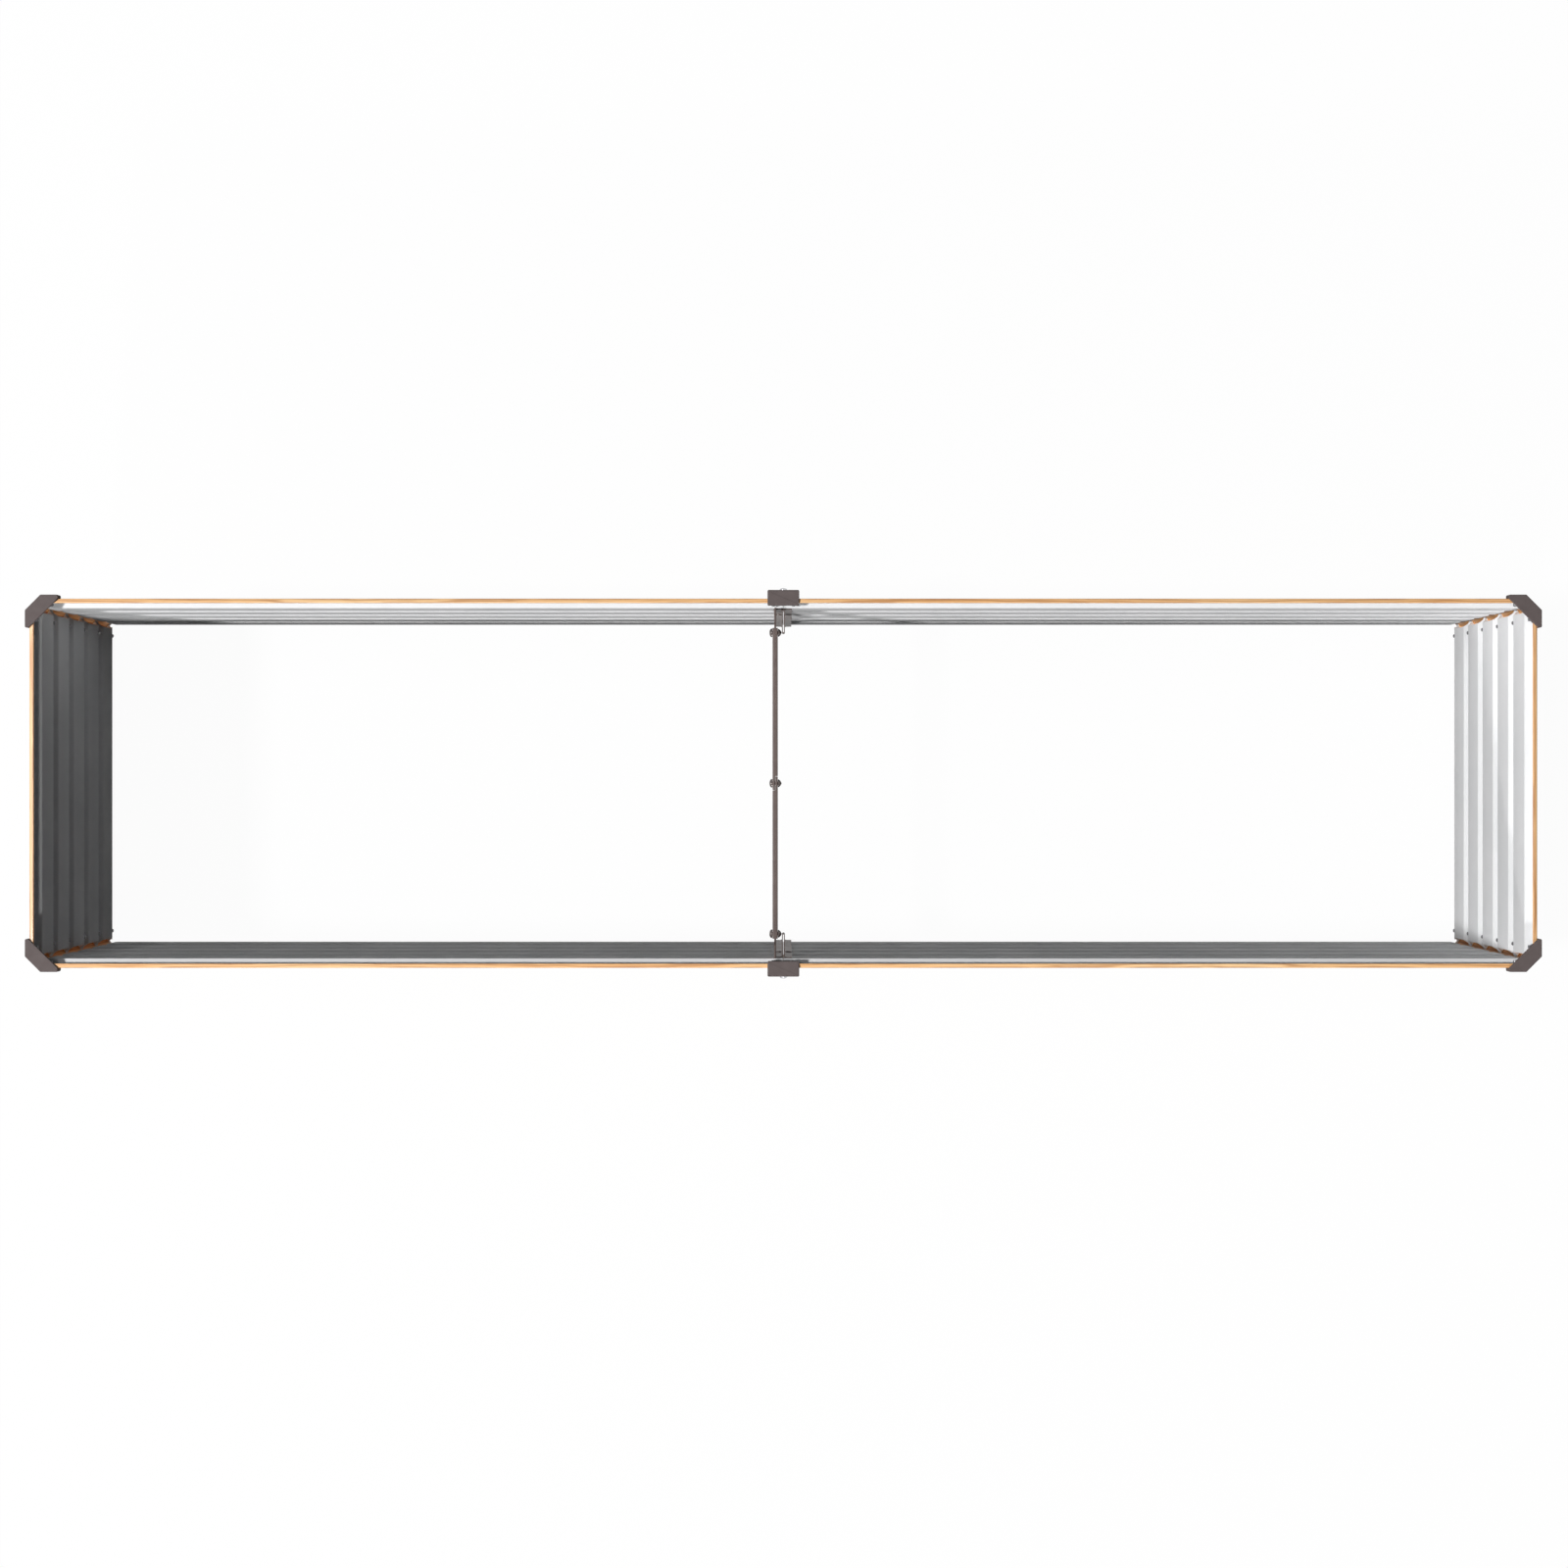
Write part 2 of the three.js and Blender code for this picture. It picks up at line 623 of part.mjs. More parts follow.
const bracketGeometry = seamBracket();
for (const [name, signY] of [['back', 1], ['front', -1]]) {
  addPiece(bed, `${name}_seam_bracket`, 'bracket', mirrored(bracketGeometry, 1, signY));
  for (const [label, side] of [['left', -1], ['right', 1]]) {
    const fixing = boltWithNut(-STRIP_INNER, -WALL_Y + RIB_DEPTH);
    const bolt = addPiece(bed, `${name}_bracket_${label}_bolt`, 'fastener', mirrored(fixing, 1, -signY));
    bolt.position.set(stripBoltX(side), 0, STRIP_BOLT_Z);
  }
}

// ---------------------------------------------------------------- cross brace

// The half of the brace that reaches the back wall: a tube, open at the wall, whose
// inner end is closed and flattened to half its thickness.
function braceHalf() {
  const halfT = BRACE_THICKNESS / 2;
  const halfH = BRACE_HEIGHT / 2;
  const lap = BRACE_LAP / 2;
  const neck = lap + BRACE_NECK;
  const tube = box([BRACE_X - halfT, neck, BRACE_Z - halfH], [BRACE_X + halfT, BRACE_END, BRACE_Z + halfH]);
  const bore = box(
    [BRACE_X - halfT + BRACE_WALL, neck + BRACE_WALL, BRACE_Z - halfH + BRACE_WALL],
    [BRACE_X + halfT - BRACE_WALL, BRACE_END + BRACE_WALL, BRACE_Z + halfH - BRACE_WALL],
  );
  const tongue = box(
    [BRACE_X - halfT, -lap, BRACE_Z - halfH],
    [BRACE_X - TOUCH / 2, neck + BRACE_WALL / 2, BRACE_Z + halfH],
  );
  const bar = solid(tube).subtract(solid(bore)).add(solid(tongue));
  return geometryOf(bar.subtract(solid(braceHole(BRACE_BOLT_Y))).subtract(solid(braceHole(0))));
}

// Bolt along +X with a round head below x = 0.
function braceBolt(length) {
  const radius = BOLT_DIAMETER / 2;
  const headRadius = BRACE_HEAD_DIAMETER / 2;
  const bolt = turned([
    [0, -BRACE_HEAD_HEIGHT],
    [headRadius * 0.4, -BRACE_HEAD_HEIGHT],
    [headRadius * 0.8, -BRACE_HEAD_HEIGHT * 0.7],
    [headRadius, -BRACE_HEAD_HEIGHT * 0.25],
    [headRadius, 0],
    [radius, 0],
    [radius, length - 1],
    [radius - 1, length],
    [0, length],
  ], 14);
  bolt.rotateZ(-Math.PI / 2);
  return bolt;
}

// Closed nut along +X: a hexagon that narrows to a point, bored for the bolt.
function capNut(boreDepth) {
  const corner = CAP_NUT_DIAMETER / 2;
  const nut = turned([
    [0, 0],
    [corner, 0],
    [corner, CAP_NUT_LENGTH * 0.5],
    [corner * 0.6, CAP_NUT_LENGTH * 0.7],
    [corner * 0.25, CAP_NUT_LENGTH],
    [0, CAP_NUT_LENGTH],
  ], 6);
  const bore = rod(BOLT_DIAMETER / 2 + TOUCH, -1, boreDepth, 12);
  const body = geometryOf(solid(nut).subtract(solid(bore)));
  body.rotateZ(-Math.PI / 2);
  return body;
}

const braceGeometry = braceHalf();
const turnedBrace = braceGeometry.clone().translate(-BRACE_X, 0, 0).rotateZ(Math.PI).translate(BRACE_X, 0, 0);
addPiece(bed, 'back_brace_half', 'bracket', braceGeometry);
addPiece(bed, 'front_brace_half', 'bracket', turnedBrace);

const headX = BRACE_X - BRACE_THICKNESS / 2 - TOUCH;
const nutX = BRACE_X + BRACE_THICKNESS / 2 + TOUCH;
const boltInNut = CAP_NUT_LENGTH * 0.5;
for (const [name, y] of [['back', BRACE_BOLT_Y], ['middle', 0], ['front', -BRACE_BOLT_Y]]) {
  const bolt = addPiece(bed, `${name}_brace_bolt`, 'fastener', braceBolt(nutX + boltInNut - headX));
  bolt.position.set(headX, y, BRACE_Z);
  const nut = addPiece(bed, `${name}_brace_nut`, 'fastener', capNut(boltInNut + TOUCH));
  nut.position.set(nutX, y, BRACE_Z);
}

export default bed;
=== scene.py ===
"""Raised garden bed of ribbed, wood-grain coated steel panels, seen from straight above.

Every piece is a closed surface worked out with numpy in metres, in the frame of the
CAD model: X along the bed, Y across it, Z up, the origin on the ground in the middle.
"""

import logging
import math
from dataclasses import dataclass, field
from enum import Enum

import bpy
import numpy as np
from numpy.typing import NDArray
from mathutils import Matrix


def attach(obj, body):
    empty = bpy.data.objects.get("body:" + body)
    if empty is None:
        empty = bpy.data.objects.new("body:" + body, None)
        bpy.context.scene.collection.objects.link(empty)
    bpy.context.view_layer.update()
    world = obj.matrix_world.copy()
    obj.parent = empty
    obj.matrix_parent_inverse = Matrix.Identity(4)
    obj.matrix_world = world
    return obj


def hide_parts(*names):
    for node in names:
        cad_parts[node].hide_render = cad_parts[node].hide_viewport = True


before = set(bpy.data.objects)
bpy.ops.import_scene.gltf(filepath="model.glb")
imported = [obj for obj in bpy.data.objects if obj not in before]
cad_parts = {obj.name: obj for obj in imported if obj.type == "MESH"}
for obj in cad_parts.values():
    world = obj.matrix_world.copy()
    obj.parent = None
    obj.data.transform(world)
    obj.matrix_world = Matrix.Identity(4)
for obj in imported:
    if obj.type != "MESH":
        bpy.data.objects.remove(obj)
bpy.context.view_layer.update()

log = logging.getLogger("garden_bed")
MM = 0.001
MOST_CUT = 0.48  # the share of a segment that a rounded corner may take
SPLIT_GAP = 0.05 * MM
BUMP_DEPTH = 0.2 * MM
ARC_STEPS = 5
CROWN_ANGLE = 0.2  # where a dome's flat crown ends, in radians
NOSE_SHARE = 0.85
FINE_STEPS = 48
THIN_SKIRT = 0.2 * MM
SHARP_ANGLE = 32.0
CAP_SHARP_ANGLE = 40.0
Points = NDArray[np.float64]
Indices = NDArray[np.int64]


class Side(Enum):
    """A wall of the bed, as the quarter turns that carry the back wall to it."""

    BACK = 0
    LEFT = 1
    FRONT = 2
    RIGHT = 3


# ---- surfaces


def rounded(path: Points, radius: float, steps: int, closed: bool = False) -> Points:
    """Rounds every corner of a path with a true arc.

    Each arc is the rational quadratic curve from the corner's incoming tangent point
    to its outgoing one, weighted by the cosine of half the turn, which is a circle.

    Args:
        path: Corners, one per row, in two dimensions.
        radius: Radius of every arc.
        steps: Segments in each arc.
        closed: True if the last corner joins the first.

    Returns:
        The rounded path, one point per row.
    """
    before = np.roll(path, 1, axis=0) if closed else path[:-2]
    after = np.roll(path, -1, axis=0) if closed else path[2:]
    corner = path if closed else path[1:-1]
    arriving = corner - before
    leaving = after - corner
    arriving_length = np.linalg.norm(arriving, axis=1, keepdims=True)
    leaving_length = np.linalg.norm(leaving, axis=1, keepdims=True)
    arriving = arriving / arriving_length
    leaving = leaving / leaving_length
    turn = np.arccos(np.clip(np.sum(arriving * leaving, axis=1, keepdims=True), -1, 1))
    cut = radius * np.tan(turn / 2)
    cut = np.minimum(cut, MOST_CUT * np.minimum(arriving_length, leaving_length))
    first = corner - arriving * cut
    last = corner + leaving * cut
    weight = np.cos(turn / 2)[:, None, :]
    t = np.linspace(0, 1, steps + 1)[None, :, None]
    near = (1 - t) ** 2
    middle = 2 * weight * t * (1 - t)
    far = t**2
    arc = near * first[:, None] + middle * corner[:, None] + far * last[:, None]
    arc = (arc / (near + middle + far)).reshape(-1, 2)
    return arc if closed else np.vstack([path[:1], arc, path[-1:]])


def beside(path: Points, distance: float, closed: bool = False) -> Points:
    """The line a fixed distance to the left of a path, or inside an anticlockwise outline.

    Each point moves along the sum of its two segments' normals, lengthened so that it
    stays the same distance from both segments.

    Args:
        path: Points, one per row.
        distance: How far to the left.
        closed: True if the last point joins the first.

    Returns:
        As many points as the path has.
    """
    step = np.roll(path, -1, axis=0) - path if closed else np.diff(path, axis=0)
    step /= np.linalg.norm(step, axis=1, keepdims=True)
    normal = np.stack([-step[:, 1], step[:, 0]], axis=1)
    before = np.roll(normal, 1, axis=0) if closed else np.vstack([normal[:1], normal])
    after = normal if closed else np.vstack([normal, normal[-1:]])
    spread = 1 + np.sum(before * after, axis=1, keepdims=True)
    return path + (before + after) * distance / spread


def split_at(outline: Points, level: Points) -> Points:
    """Adds a close pair of points wherever a value along a closed outline changes sign.

    On each such segment the value falls in a straight line, so its zero lies at the
    first value over the difference of the two.

    Args:
        outline: Points, one per row.
        level: The value at each point.

    Returns:
        The outline with the pairs put in.
    """
    following = np.roll(level, -1)
    where = np.nonzero((level > 0) != (following > 0))[0]
    start = outline[where]
    step = np.roll(outline, -1, axis=0)[where] - start
    length = np.linalg.norm(step, axis=1, keepdims=True)
    share = (level[where] / (level[where] - following[where]))[:, None]
    gap = SPLIT_GAP / length
    pair = np.stack([start + step * (share - gap), start + step * (share + gap)], axis=1)
    return np.insert(outline, np.repeat(where + 1, 2), pair.reshape(-1, 2), axis=0)


@dataclass
class Shell:
    """A closed surface made of rings, with grain coordinates at every face corner.

    rings holds the points as [ring, step, xyz] and along and across the two grain
    coordinates, across with one more column so that the last face doesn't wrap back.
    """

    rings: Points
    along: Points
    across: Points
    tags: Indices | None = None
    sheet: bool = False

    def corners(self) -> tuple[Indices, Indices]:
        """Ring and step numbers of each side quad's corners, the steps not wrapped back."""
        count, steps = self.rings.shape[:2]
        ring, step = np.meshgrid(np.arange(count - 1), np.arange(steps), indexing="ij")
        ring_numbers = np.stack([ring, ring, ring + 1, ring + 1], axis=-1).reshape(-1, 4)
        step_numbers = np.stack([step, step + 1, step + 1, step], axis=-1).reshape(-1, 4)
        return ring_numbers, step_numbers

    def faces(self) -> tuple[Indices, list[Indices]]:
        """The side quads, and the faces that close the two ends.

        A bent sheet's ends are ladders of quads between its two skins. Any other
        shell's ends are single flat faces.

        Returns:
            The side quads, and a list of end faces as arrays of corner numbers.
        """
        count, steps = self.rings.shape[:2]
        ring_numbers, step_numbers = self.corners()
        sides = ring_numbers * steps + step_numbers % steps
        last = (count - 1) * steps
        if self.sheet:
            low = np.arange(steps // 2 - 1)
            ladder = np.stack([low, steps - 1 - low, steps - 2 - low, low + 1], axis=1)
            return sides, [ladder, last + ladder[:, ::-1]]
        ring = np.arange(steps)
        return sides, [ring[None, ::-1], last + ring[None, :]]

    def coordinates(self) -> tuple[Points, Points]:
        """Grain coordinates of the side quads' corners and of every point.

        Returns:
            One [quad, corner, 2] array and one [point, 2] array.
        """
        count, steps = self.rings.shape[:2]
        grid = (count, steps + 1)
        both = np.stack([np.broadcast_to(self.along, grid), np.broadcast_to(self.across, grid)], axis=-1)
        return both[self.corners()], both[:, :-1].reshape(-1, 2)


def signed_volume(points: Points, quads: Indices, ends: list[Indices]) -> float:
    """Volume inside the faces, negative if they point inwards.

    The sum over the faces' fan triangles of a corner dotted with the cross product of
    the other two, over six.

    Args:
        points: Points of the surface.
        quads: Side faces.
        ends: End faces.

    Returns:
        The volume in cubic metres.
    """
    total = 0.0
    centre = points.mean(axis=0)
    for block in [quads, *ends]:
        corners = points[block] - centre
        first = corners[:, :1]
        cross = np.cross(corners[:, 1:-1], corners[:, 2:])
        total += float(np.sum(np.broadcast_to(first, cross.shape) * cross)) / 6
    return total


def linked(name: str, data: bpy.types.ID) -> bpy.types.Object:
    """A new object with this data, linked to the scene."""
    thing = bpy.data.objects.new(name, data)
    bpy.context.scene.collection.objects.link(thing)
    return thing


def build(
    name: str,
    shell: Shell,
    materials: list[bpy.types.Material],
    slot: str,
    *nodes: str,
    sharp: float = SHARP_ANGLE,
) -> None:
    """Turns a shell into a piece whose faces point outwards, and rides it on the bed.

    Args:
        name: Name of the piece.
        shell: The closed surface.
        materials: Materials in the order of the shell's tags.
        slot: Material slot of the record; not used.
        nodes: CAD nodes that the piece replaces.
        sharp: Angle in degrees past which an edge is drawn sharp.
    """
    points = shell.rings.reshape(-1, 3)
    quads, ends = shell.faces()
    side_uv, point_uv = shell.coordinates()
    if signed_volume(points, quads, ends) < 0:
        quads = quads[:, ::-1]
        side_uv = side_uv[:, ::-1]
        ends = [block[:, ::-1] for block in ends]
    faces = [face for block in [quads, *ends] for face in block.tolist()]
    mesh = bpy.data.meshes.new(name)
    mesh.from_pydata(points.tolist(), [], faces)
    uv = np.vstack([side_uv.reshape(-1, 2), *[point_uv[block].reshape(-1, 2) for block in ends]])
    mesh.uv_layers.new(name="grain").data.foreach_set("uv", uv.ravel())
    for material in materials:
        mesh.materials.append(material)
    if shell.tags is not None:
        count = shell.rings.shape[0] - 1
        end_count = sum(len(block) for block in ends)
        tags = np.concatenate([np.tile(shell.tags, count), np.full(end_count, len(materials) - 1)])
        mesh.polygons.foreach_set("material_index", tags.astype(np.int32))
    mesh.shade_smooth()
    mesh.set_sharp_from_angle(angle=math.radians(sharp))
    mesh.update()
    piece = linked(name, mesh)
    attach(piece, "root")
    if nodes:
        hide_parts(*nodes)
    log.info("%s: %d faces", name, len(faces))


def sheet_loop(path: Points, thickness: float) -> Points:
    """Both skins of a bent sheet as one loop: the path, then its offset run backwards."""
    return np.vstack([path, beside(path, thickness)[::-1]])


def stacked(x: Points, y: Points, z: Points) -> Points:
    """Three arrays as one of [..., xyz], each stretched to the shape they share."""
    return np.stack(np.broadcast_arrays(x, y, z), axis=-1)


def run_length(loop: Points) -> Points:
    """Distance along a closed loop at each point, and back at the first point."""
    step = np.roll(loop, -1, axis=0) - loop
    return np.concatenate([[0.0], np.cumsum(np.linalg.norm(step, axis=-1))])


def turned_to(side: Side, points: Points) -> Points:
    """Carries points of the back wall's frame to another wall by exact quarter turns."""
    x, y, z = points[..., 0], points[..., 1], points[..., 2]
    ways = {Side.BACK: (x, y), Side.LEFT: (-y, x), Side.FRONT: (-x, -y), Side.RIGHT: (y, -x)}
    return stacked(*ways[side], z)


# ---- shared effects


class Nodes:
    """Short ways to place and join shader nodes in one tree."""

    def __init__(self, tree: bpy.types.NodeTree) -> None:
        """Keeps the tree that the nodes go into."""
        self.tree = tree

    def add(self, kind: str, **values: object) -> bpy.types.Node:
        """Adds a node, sets its properties, then its inputs.

        Args:
            kind: Node type.
            values: Properties by name, or inputs by socket name with spaces as underscores.

        Returns:
            The node.
        """
        node = self.tree.nodes.new(kind)
        plain = {key: value for key, value in values.items() if hasattr(node, key)}
        for key, value in plain.items():
            setattr(node, key, value)
        for key, value in values.items():
            if key not in plain:
                self.feed(node.inputs[key.replace("_", " ")], value)
        return node

    def feed(self, socket: bpy.types.NodeSocket, value: object) -> None:
        """Links a socket into this one, or sets it to a plain value."""
        if isinstance(value, bpy.types.NodeSocket):
            self.tree.links.new(value, socket)
        else:
            socket.default_value = value

    def math(self, operation: str, *values: object, clamp: bool = False) -> bpy.types.NodeSocket:
        """The output of a Math node."""
        node = self.add("ShaderNodeMath", operation=operation, use_clamp=clamp)
        for socket, value in zip(node.inputs, values):
            self.feed(socket, value)
        return node.outputs[0]

    def direct_rays(self) -> bpy.types.NodeSocket:
        """One on rays from the camera, off a gloss or through a surface, otherwise nought."""
        ray = self.add("ShaderNodeLightPath").outputs
        direct = self.math("MAXIMUM", ray["Is Camera Ray"], ray["Is Glossy Ray"])
        return self.math("MAXIMUM", direct, ray["Is Transmission Ray"])

    def mix(self, factor: object, first: object, second: object, blend: str = "MIX") -> bpy.types.NodeSocket:
        """The colour output of a Mix node."""
        node = self.add("ShaderNodeMix", data_type="RGBA", blend_type=blend)
        self.feed(node.inputs[0], factor)
        self.feed(node.inputs[6], first)
        self.feed(node.inputs[7], second)
        return node.outputs[2]

    def bump(self, shader: bpy.types.Node, strength: float, height: bpy.types.NodeSocket) -> None:
        """Raises a shader's surface by a height."""
        node = self.add("ShaderNodeBump", Strength=strength, Distance=BUMP_DEPTH, Height=height)
        self.feed(shader.inputs["Normal"], node.outputs[0])

    def ramp(self, factor: object, low: float, high: float) -> bpy.types.NodeSocket:
        """A grey Colour Ramp output that rises from black at low to white at high."""
        node = self.add("ShaderNodeValToRGB")
        first, last = node.color_ramp.elements
        first.position, last.position = low, high
        self.feed(node.inputs[0], factor)
        return node.outputs[0]


def new_material(name: str) -> tuple[bpy.types.Material, Nodes, bpy.types.Node]:
    """A new material, its nodes and its shader."""
    material = bpy.data.materials.new(name)
    material.use_nodes = True
    return material, Nodes(material.node_tree), material.node_tree.nodes["Principled BSDF"]


def new_group(name: str, inputs: list[tuple[str, str, object]], outputs: list[tuple[str, str]]) -> Nodes:
    """Starts a shader node group with named sockets.

    Args:
        name: Name of the group.
        inputs: Name, socket kind and starting value of each input.
        outputs: Name and socket kind of each output.

    Returns:
        The group's nodes.
    """
    tree = bpy.data.node_groups.new(name, "ShaderNodeTree")
    for label, kind, value in inputs:
        socket = tree.interface.new_socket(label, in_out="INPUT", socket_type=f"NodeSocket{kind}")
        if value is not None:
            socket.default_value = value
    for label, kind in outputs:
        tree.interface.new_socket(label, in_out="OUTPUT", socket_type=f"NodeSocket{kind}")
    return Nodes(tree)


def wood_grain_group() -> bpy.types.NodeTree:
    """Printed pine: long growth lines, finer pores and a slow drift of tone.

    The lines are a wave across the grain, bent by stretched noise, so that they run
    nearly straight and close up here and there.

    Returns:
        The node group.
    """
    group = new_group(
        "wood grain",
        [
            ("Vector", "Vector", None),
            ("Pale", "Color", (1, 1, 1, 1)),
            ("Middle", "Color", (0.5, 0.5, 0.5, 1)),
            ("Dark", "Color", (0, 0, 0, 1)),
            ("Line spacing", "Float", 0.006),
        ],
        [("Color", "Color"), ("Height", "Float")],
    )
    source = group.add("NodeGroupInput").outputs
    line_bend, line_power, line_strength, pore_strength = 9.0, 2.2, 0.62, 0.3
    wide = group.add("ShaderNodeMapping", Vector=source["Vector"], Scale=(1.6, 26.0, 1.0))
    drift = group.add("ShaderNodeTexNoise", Vector=wide.outputs[0], Scale=1.0, Detail=4.0, Roughness=0.55)
    split = group.add("ShaderNodeSeparateXYZ", Vector=source["Vector"]).outputs
    straight = group.math("DIVIDE", split[1], source["Line spacing"])
    bent = group.math("ADD", straight, group.math("MULTIPLY", drift.outputs[0], line_bend))
    sine = group.math("SINE", group.math("MULTIPLY", bent, 2 * math.pi))
    lines = group.math("POWER", group.math("MULTIPLY_ADD", sine, 0.5, 0.5), line_power)
    fine = group.add("ShaderNodeMapping", Vector=source["Vector"], Scale=(22.0, 900.0, 1.0))
    pores = group.add("ShaderNodeTexNoise", Vector=fine.outputs[0], Scale=1.0, Detail=3.0, Roughness=0.6)
    pore_mask = group.ramp(pores.outputs[0], 0.46, 0.66)
    slow = group.ramp(drift.outputs[0], 0.35, 0.65)
    base = group.mix(slow, source["Pale"], source["Middle"])
    lined = group.mix(group.math("MULTIPLY", lines, line_strength), base, source["Dark"])
    pored = group.mix(group.math("MULTIPLY", pore_mask, pore_strength), lined, source["Dark"])
    sink = group.add("NodeGroupOutput")
    group.feed(sink.inputs["Color"], pored)
    group.feed(sink.inputs["Height"], group.math("MULTIPLY", group.math("ADD", lines, pore_mask), -0.5))
    return group.tree


def mottle_group() -> bpy.types.NodeTree:
    """A soft patchiness with a finer one over it, for coats, mouldings and zinc.

    Returns:
        The node group.
    """
    group = new_group(
        "mottle",
        [
            ("Vector", "Vector", None),
            ("Patch", "Float", 40.0),
            ("Grain", "Float", 900.0),
            ("Grain share", "Float", 0.3),
        ],
        [("Value", "Float"), ("Fine", "Float")],
    )
    source = group.add("NodeGroupInput").outputs
    place = source["Vector"]
    patch = group.add("ShaderNodeTexNoise", Vector=place, Scale=source["Patch"], Detail=4.0, Roughness=0.6)
    grain = group.add("ShaderNodeTexNoise", Vector=place, Scale=source["Grain"], Detail=2.0)
    share = group.math("MULTIPLY", group.math("SUBTRACT", grain.outputs[0], 0.5), source["Grain share"])
    sink = group.add("NodeGroupOutput")
    group.feed(sink.inputs["Value"], group.math("ADD", patch.outputs[0], share, clamp=True))
    group.feed(sink.inputs["Fine"], grain.outputs[0])
    return group.tree


# ---- finishes


def colour(red: int, green: int, blue: int) -> tuple[float, float, float, float]:
    """A screen colour from 0 to 255 as a linear one."""
    screen = np.array([red, green, blue]) / 255
    linear = np.where(screen <= 0.04045, screen / 12.92, ((screen + 0.055) / 1.055) ** 2.4)
    return (*linear.tolist(), 1.0)


@dataclass(frozen=True)
class WoodCoat:
    """Wood-grain print over steel sheet, under a satin clear coat."""

    pale: tuple[int, int, int] = (244, 203, 150)
    middle: tuple[int, int, int] = (228, 168, 104)
    dark: tuple[int, int, int] = (160, 98, 50)
    roughness: float = 0.46
    line_spacing: float = 7.5 * MM
    bump: float = 0.25
    coat_weight: float = 0.25
    coat_roughness: float = 0.3

    def material(self, name: str, grain: bpy.types.NodeTree) -> bpy.types.Material:
        """Builds the material on the piece's own grain map.

        Args:
            name: Name of the material.
            grain: The wood grain group.

        Returns:
            The material.
        """
        material, nodes, shader = new_material(name)
        place = nodes.add("ShaderNodeUVMap", uv_map="grain").outputs[0]
        print_ = nodes.add("ShaderNodeGroup", node_tree=grain)
        nodes.feed(print_.inputs["Vector"], place)
        for label, tone in (("Pale", self.pale), ("Middle", self.middle), ("Dark", self.dark)):
            nodes.feed(print_.inputs[label], colour(*tone))
        nodes.feed(print_.inputs["Line spacing"], self.line_spacing)
        nodes.feed(shader.inputs["Base Color"], print_.outputs["Color"])
        nodes.bump(shader, self.bump, print_.outputs["Height"])
        shader.inputs["Roughness"].default_value = self.roughness
        shader.inputs["Coat Weight"].default_value = self.coat_weight
        shader.inputs["Coat Roughness"].default_value = self.coat_roughness
        return material


@dataclass(frozen=True)
class MottledFinish:
    """A plain finish whose colour and gloss vary in soft patches."""

    name: str
    light: tuple[int, int, int]
    shade: tuple[int, int, int]
    low_gloss: float
    high_gloss: float
    metallic: float
    patch: float
    bump: float
    specular: float = 0.5

    def material(self, mottle: bpy.types.NodeTree) -> bpy.types.Material:
        """Builds the material on Object coordinates.

        Args:
            mottle: The mottle group.

        Returns:
            The material.
        """
        material, nodes, shader = new_material(self.name)
        place = nodes.add("ShaderNodeTexCoord").outputs["Object"]
        spots = nodes.add("ShaderNodeGroup", node_tree=mottle)
        nodes.feed(spots.inputs["Vector"], place)
        nodes.feed(spots.inputs["Patch"], self.patch)
        spread = nodes.ramp(spots.outputs["Value"], 0.3, 0.7)
        nodes.feed(shader.inputs["Base Color"], nodes.mix(spread, colour(*self.shade), colour(*self.light)))
        gloss = nodes.math("MULTIPLY_ADD", spread, self.low_gloss - self.high_gloss, self.high_gloss)
        nodes.feed(shader.inputs["Roughness"], gloss)
        shader.inputs["Metallic"].default_value = self.metallic
        shader.inputs["Specular IOR Level"].default_value = self.specular
        nodes.bump(shader, self.bump, spots.outputs["Fine"])
        return material


@dataclass
class Wardrobe:
    """Every finish of the bed, built once."""

    coat: bpy.types.Material = field(init=False)
    inside: bpy.types.Material = field(init=False)
    cap: bpy.types.Material = field(init=False)
    bracket: bpy.types.Material = field(init=False)
    zinc: bpy.types.Material = field(init=False)
    dark_screw: bpy.types.Material = field(init=False)
    bright_screw: bpy.types.Material = field(init=False)

    def __post_init__(self) -> None:
        """Builds the shared groups and the materials."""
        grain = wood_grain_group()
        mottle = mottle_group()
        self.coat = WoodCoat().material("wood_grain_coat", grain)
        self.inside = MottledFinish(
            "primed_inside", (230, 230, 231), (224, 225, 226), 0.55, 0.65, 0.0, 9.0, 0.0, 0.05
        ).material(mottle)
        self.cap = MottledFinish(
            "taupe_moulding", (98, 89, 88), (93, 84, 83), 0.6, 0.7, 0.0, 60.0, 0.2, 0.1
        ).material(mottle)
        self.bracket = MottledFinish(
            "dark_taupe_steel", (104, 92, 88), (94, 82, 79), 0.42, 0.52, 0.0, 50.0, 0.1, 0.2
        ).material(mottle)
        self.zinc = MottledFinish(
            "zinc_plate", (124, 124, 126), (104, 104, 107), 0.3, 0.45, 0.6, 120.0, 0.1
        ).material(mottle)
        self.dark_screw = MottledFinish(
            "dark_plate", (100, 90, 86), (82, 74, 72), 0.2, 0.3, 0.2, 120.0, 0.1
        ).material(mottle)
        self.bright_screw = MottledFinish(
            "bright_plate", (214, 214, 216), (190, 190, 194), 0.14, 0.22, 1.0, 120.0, 0.05
        ).material(mottle)


# ---- measurements


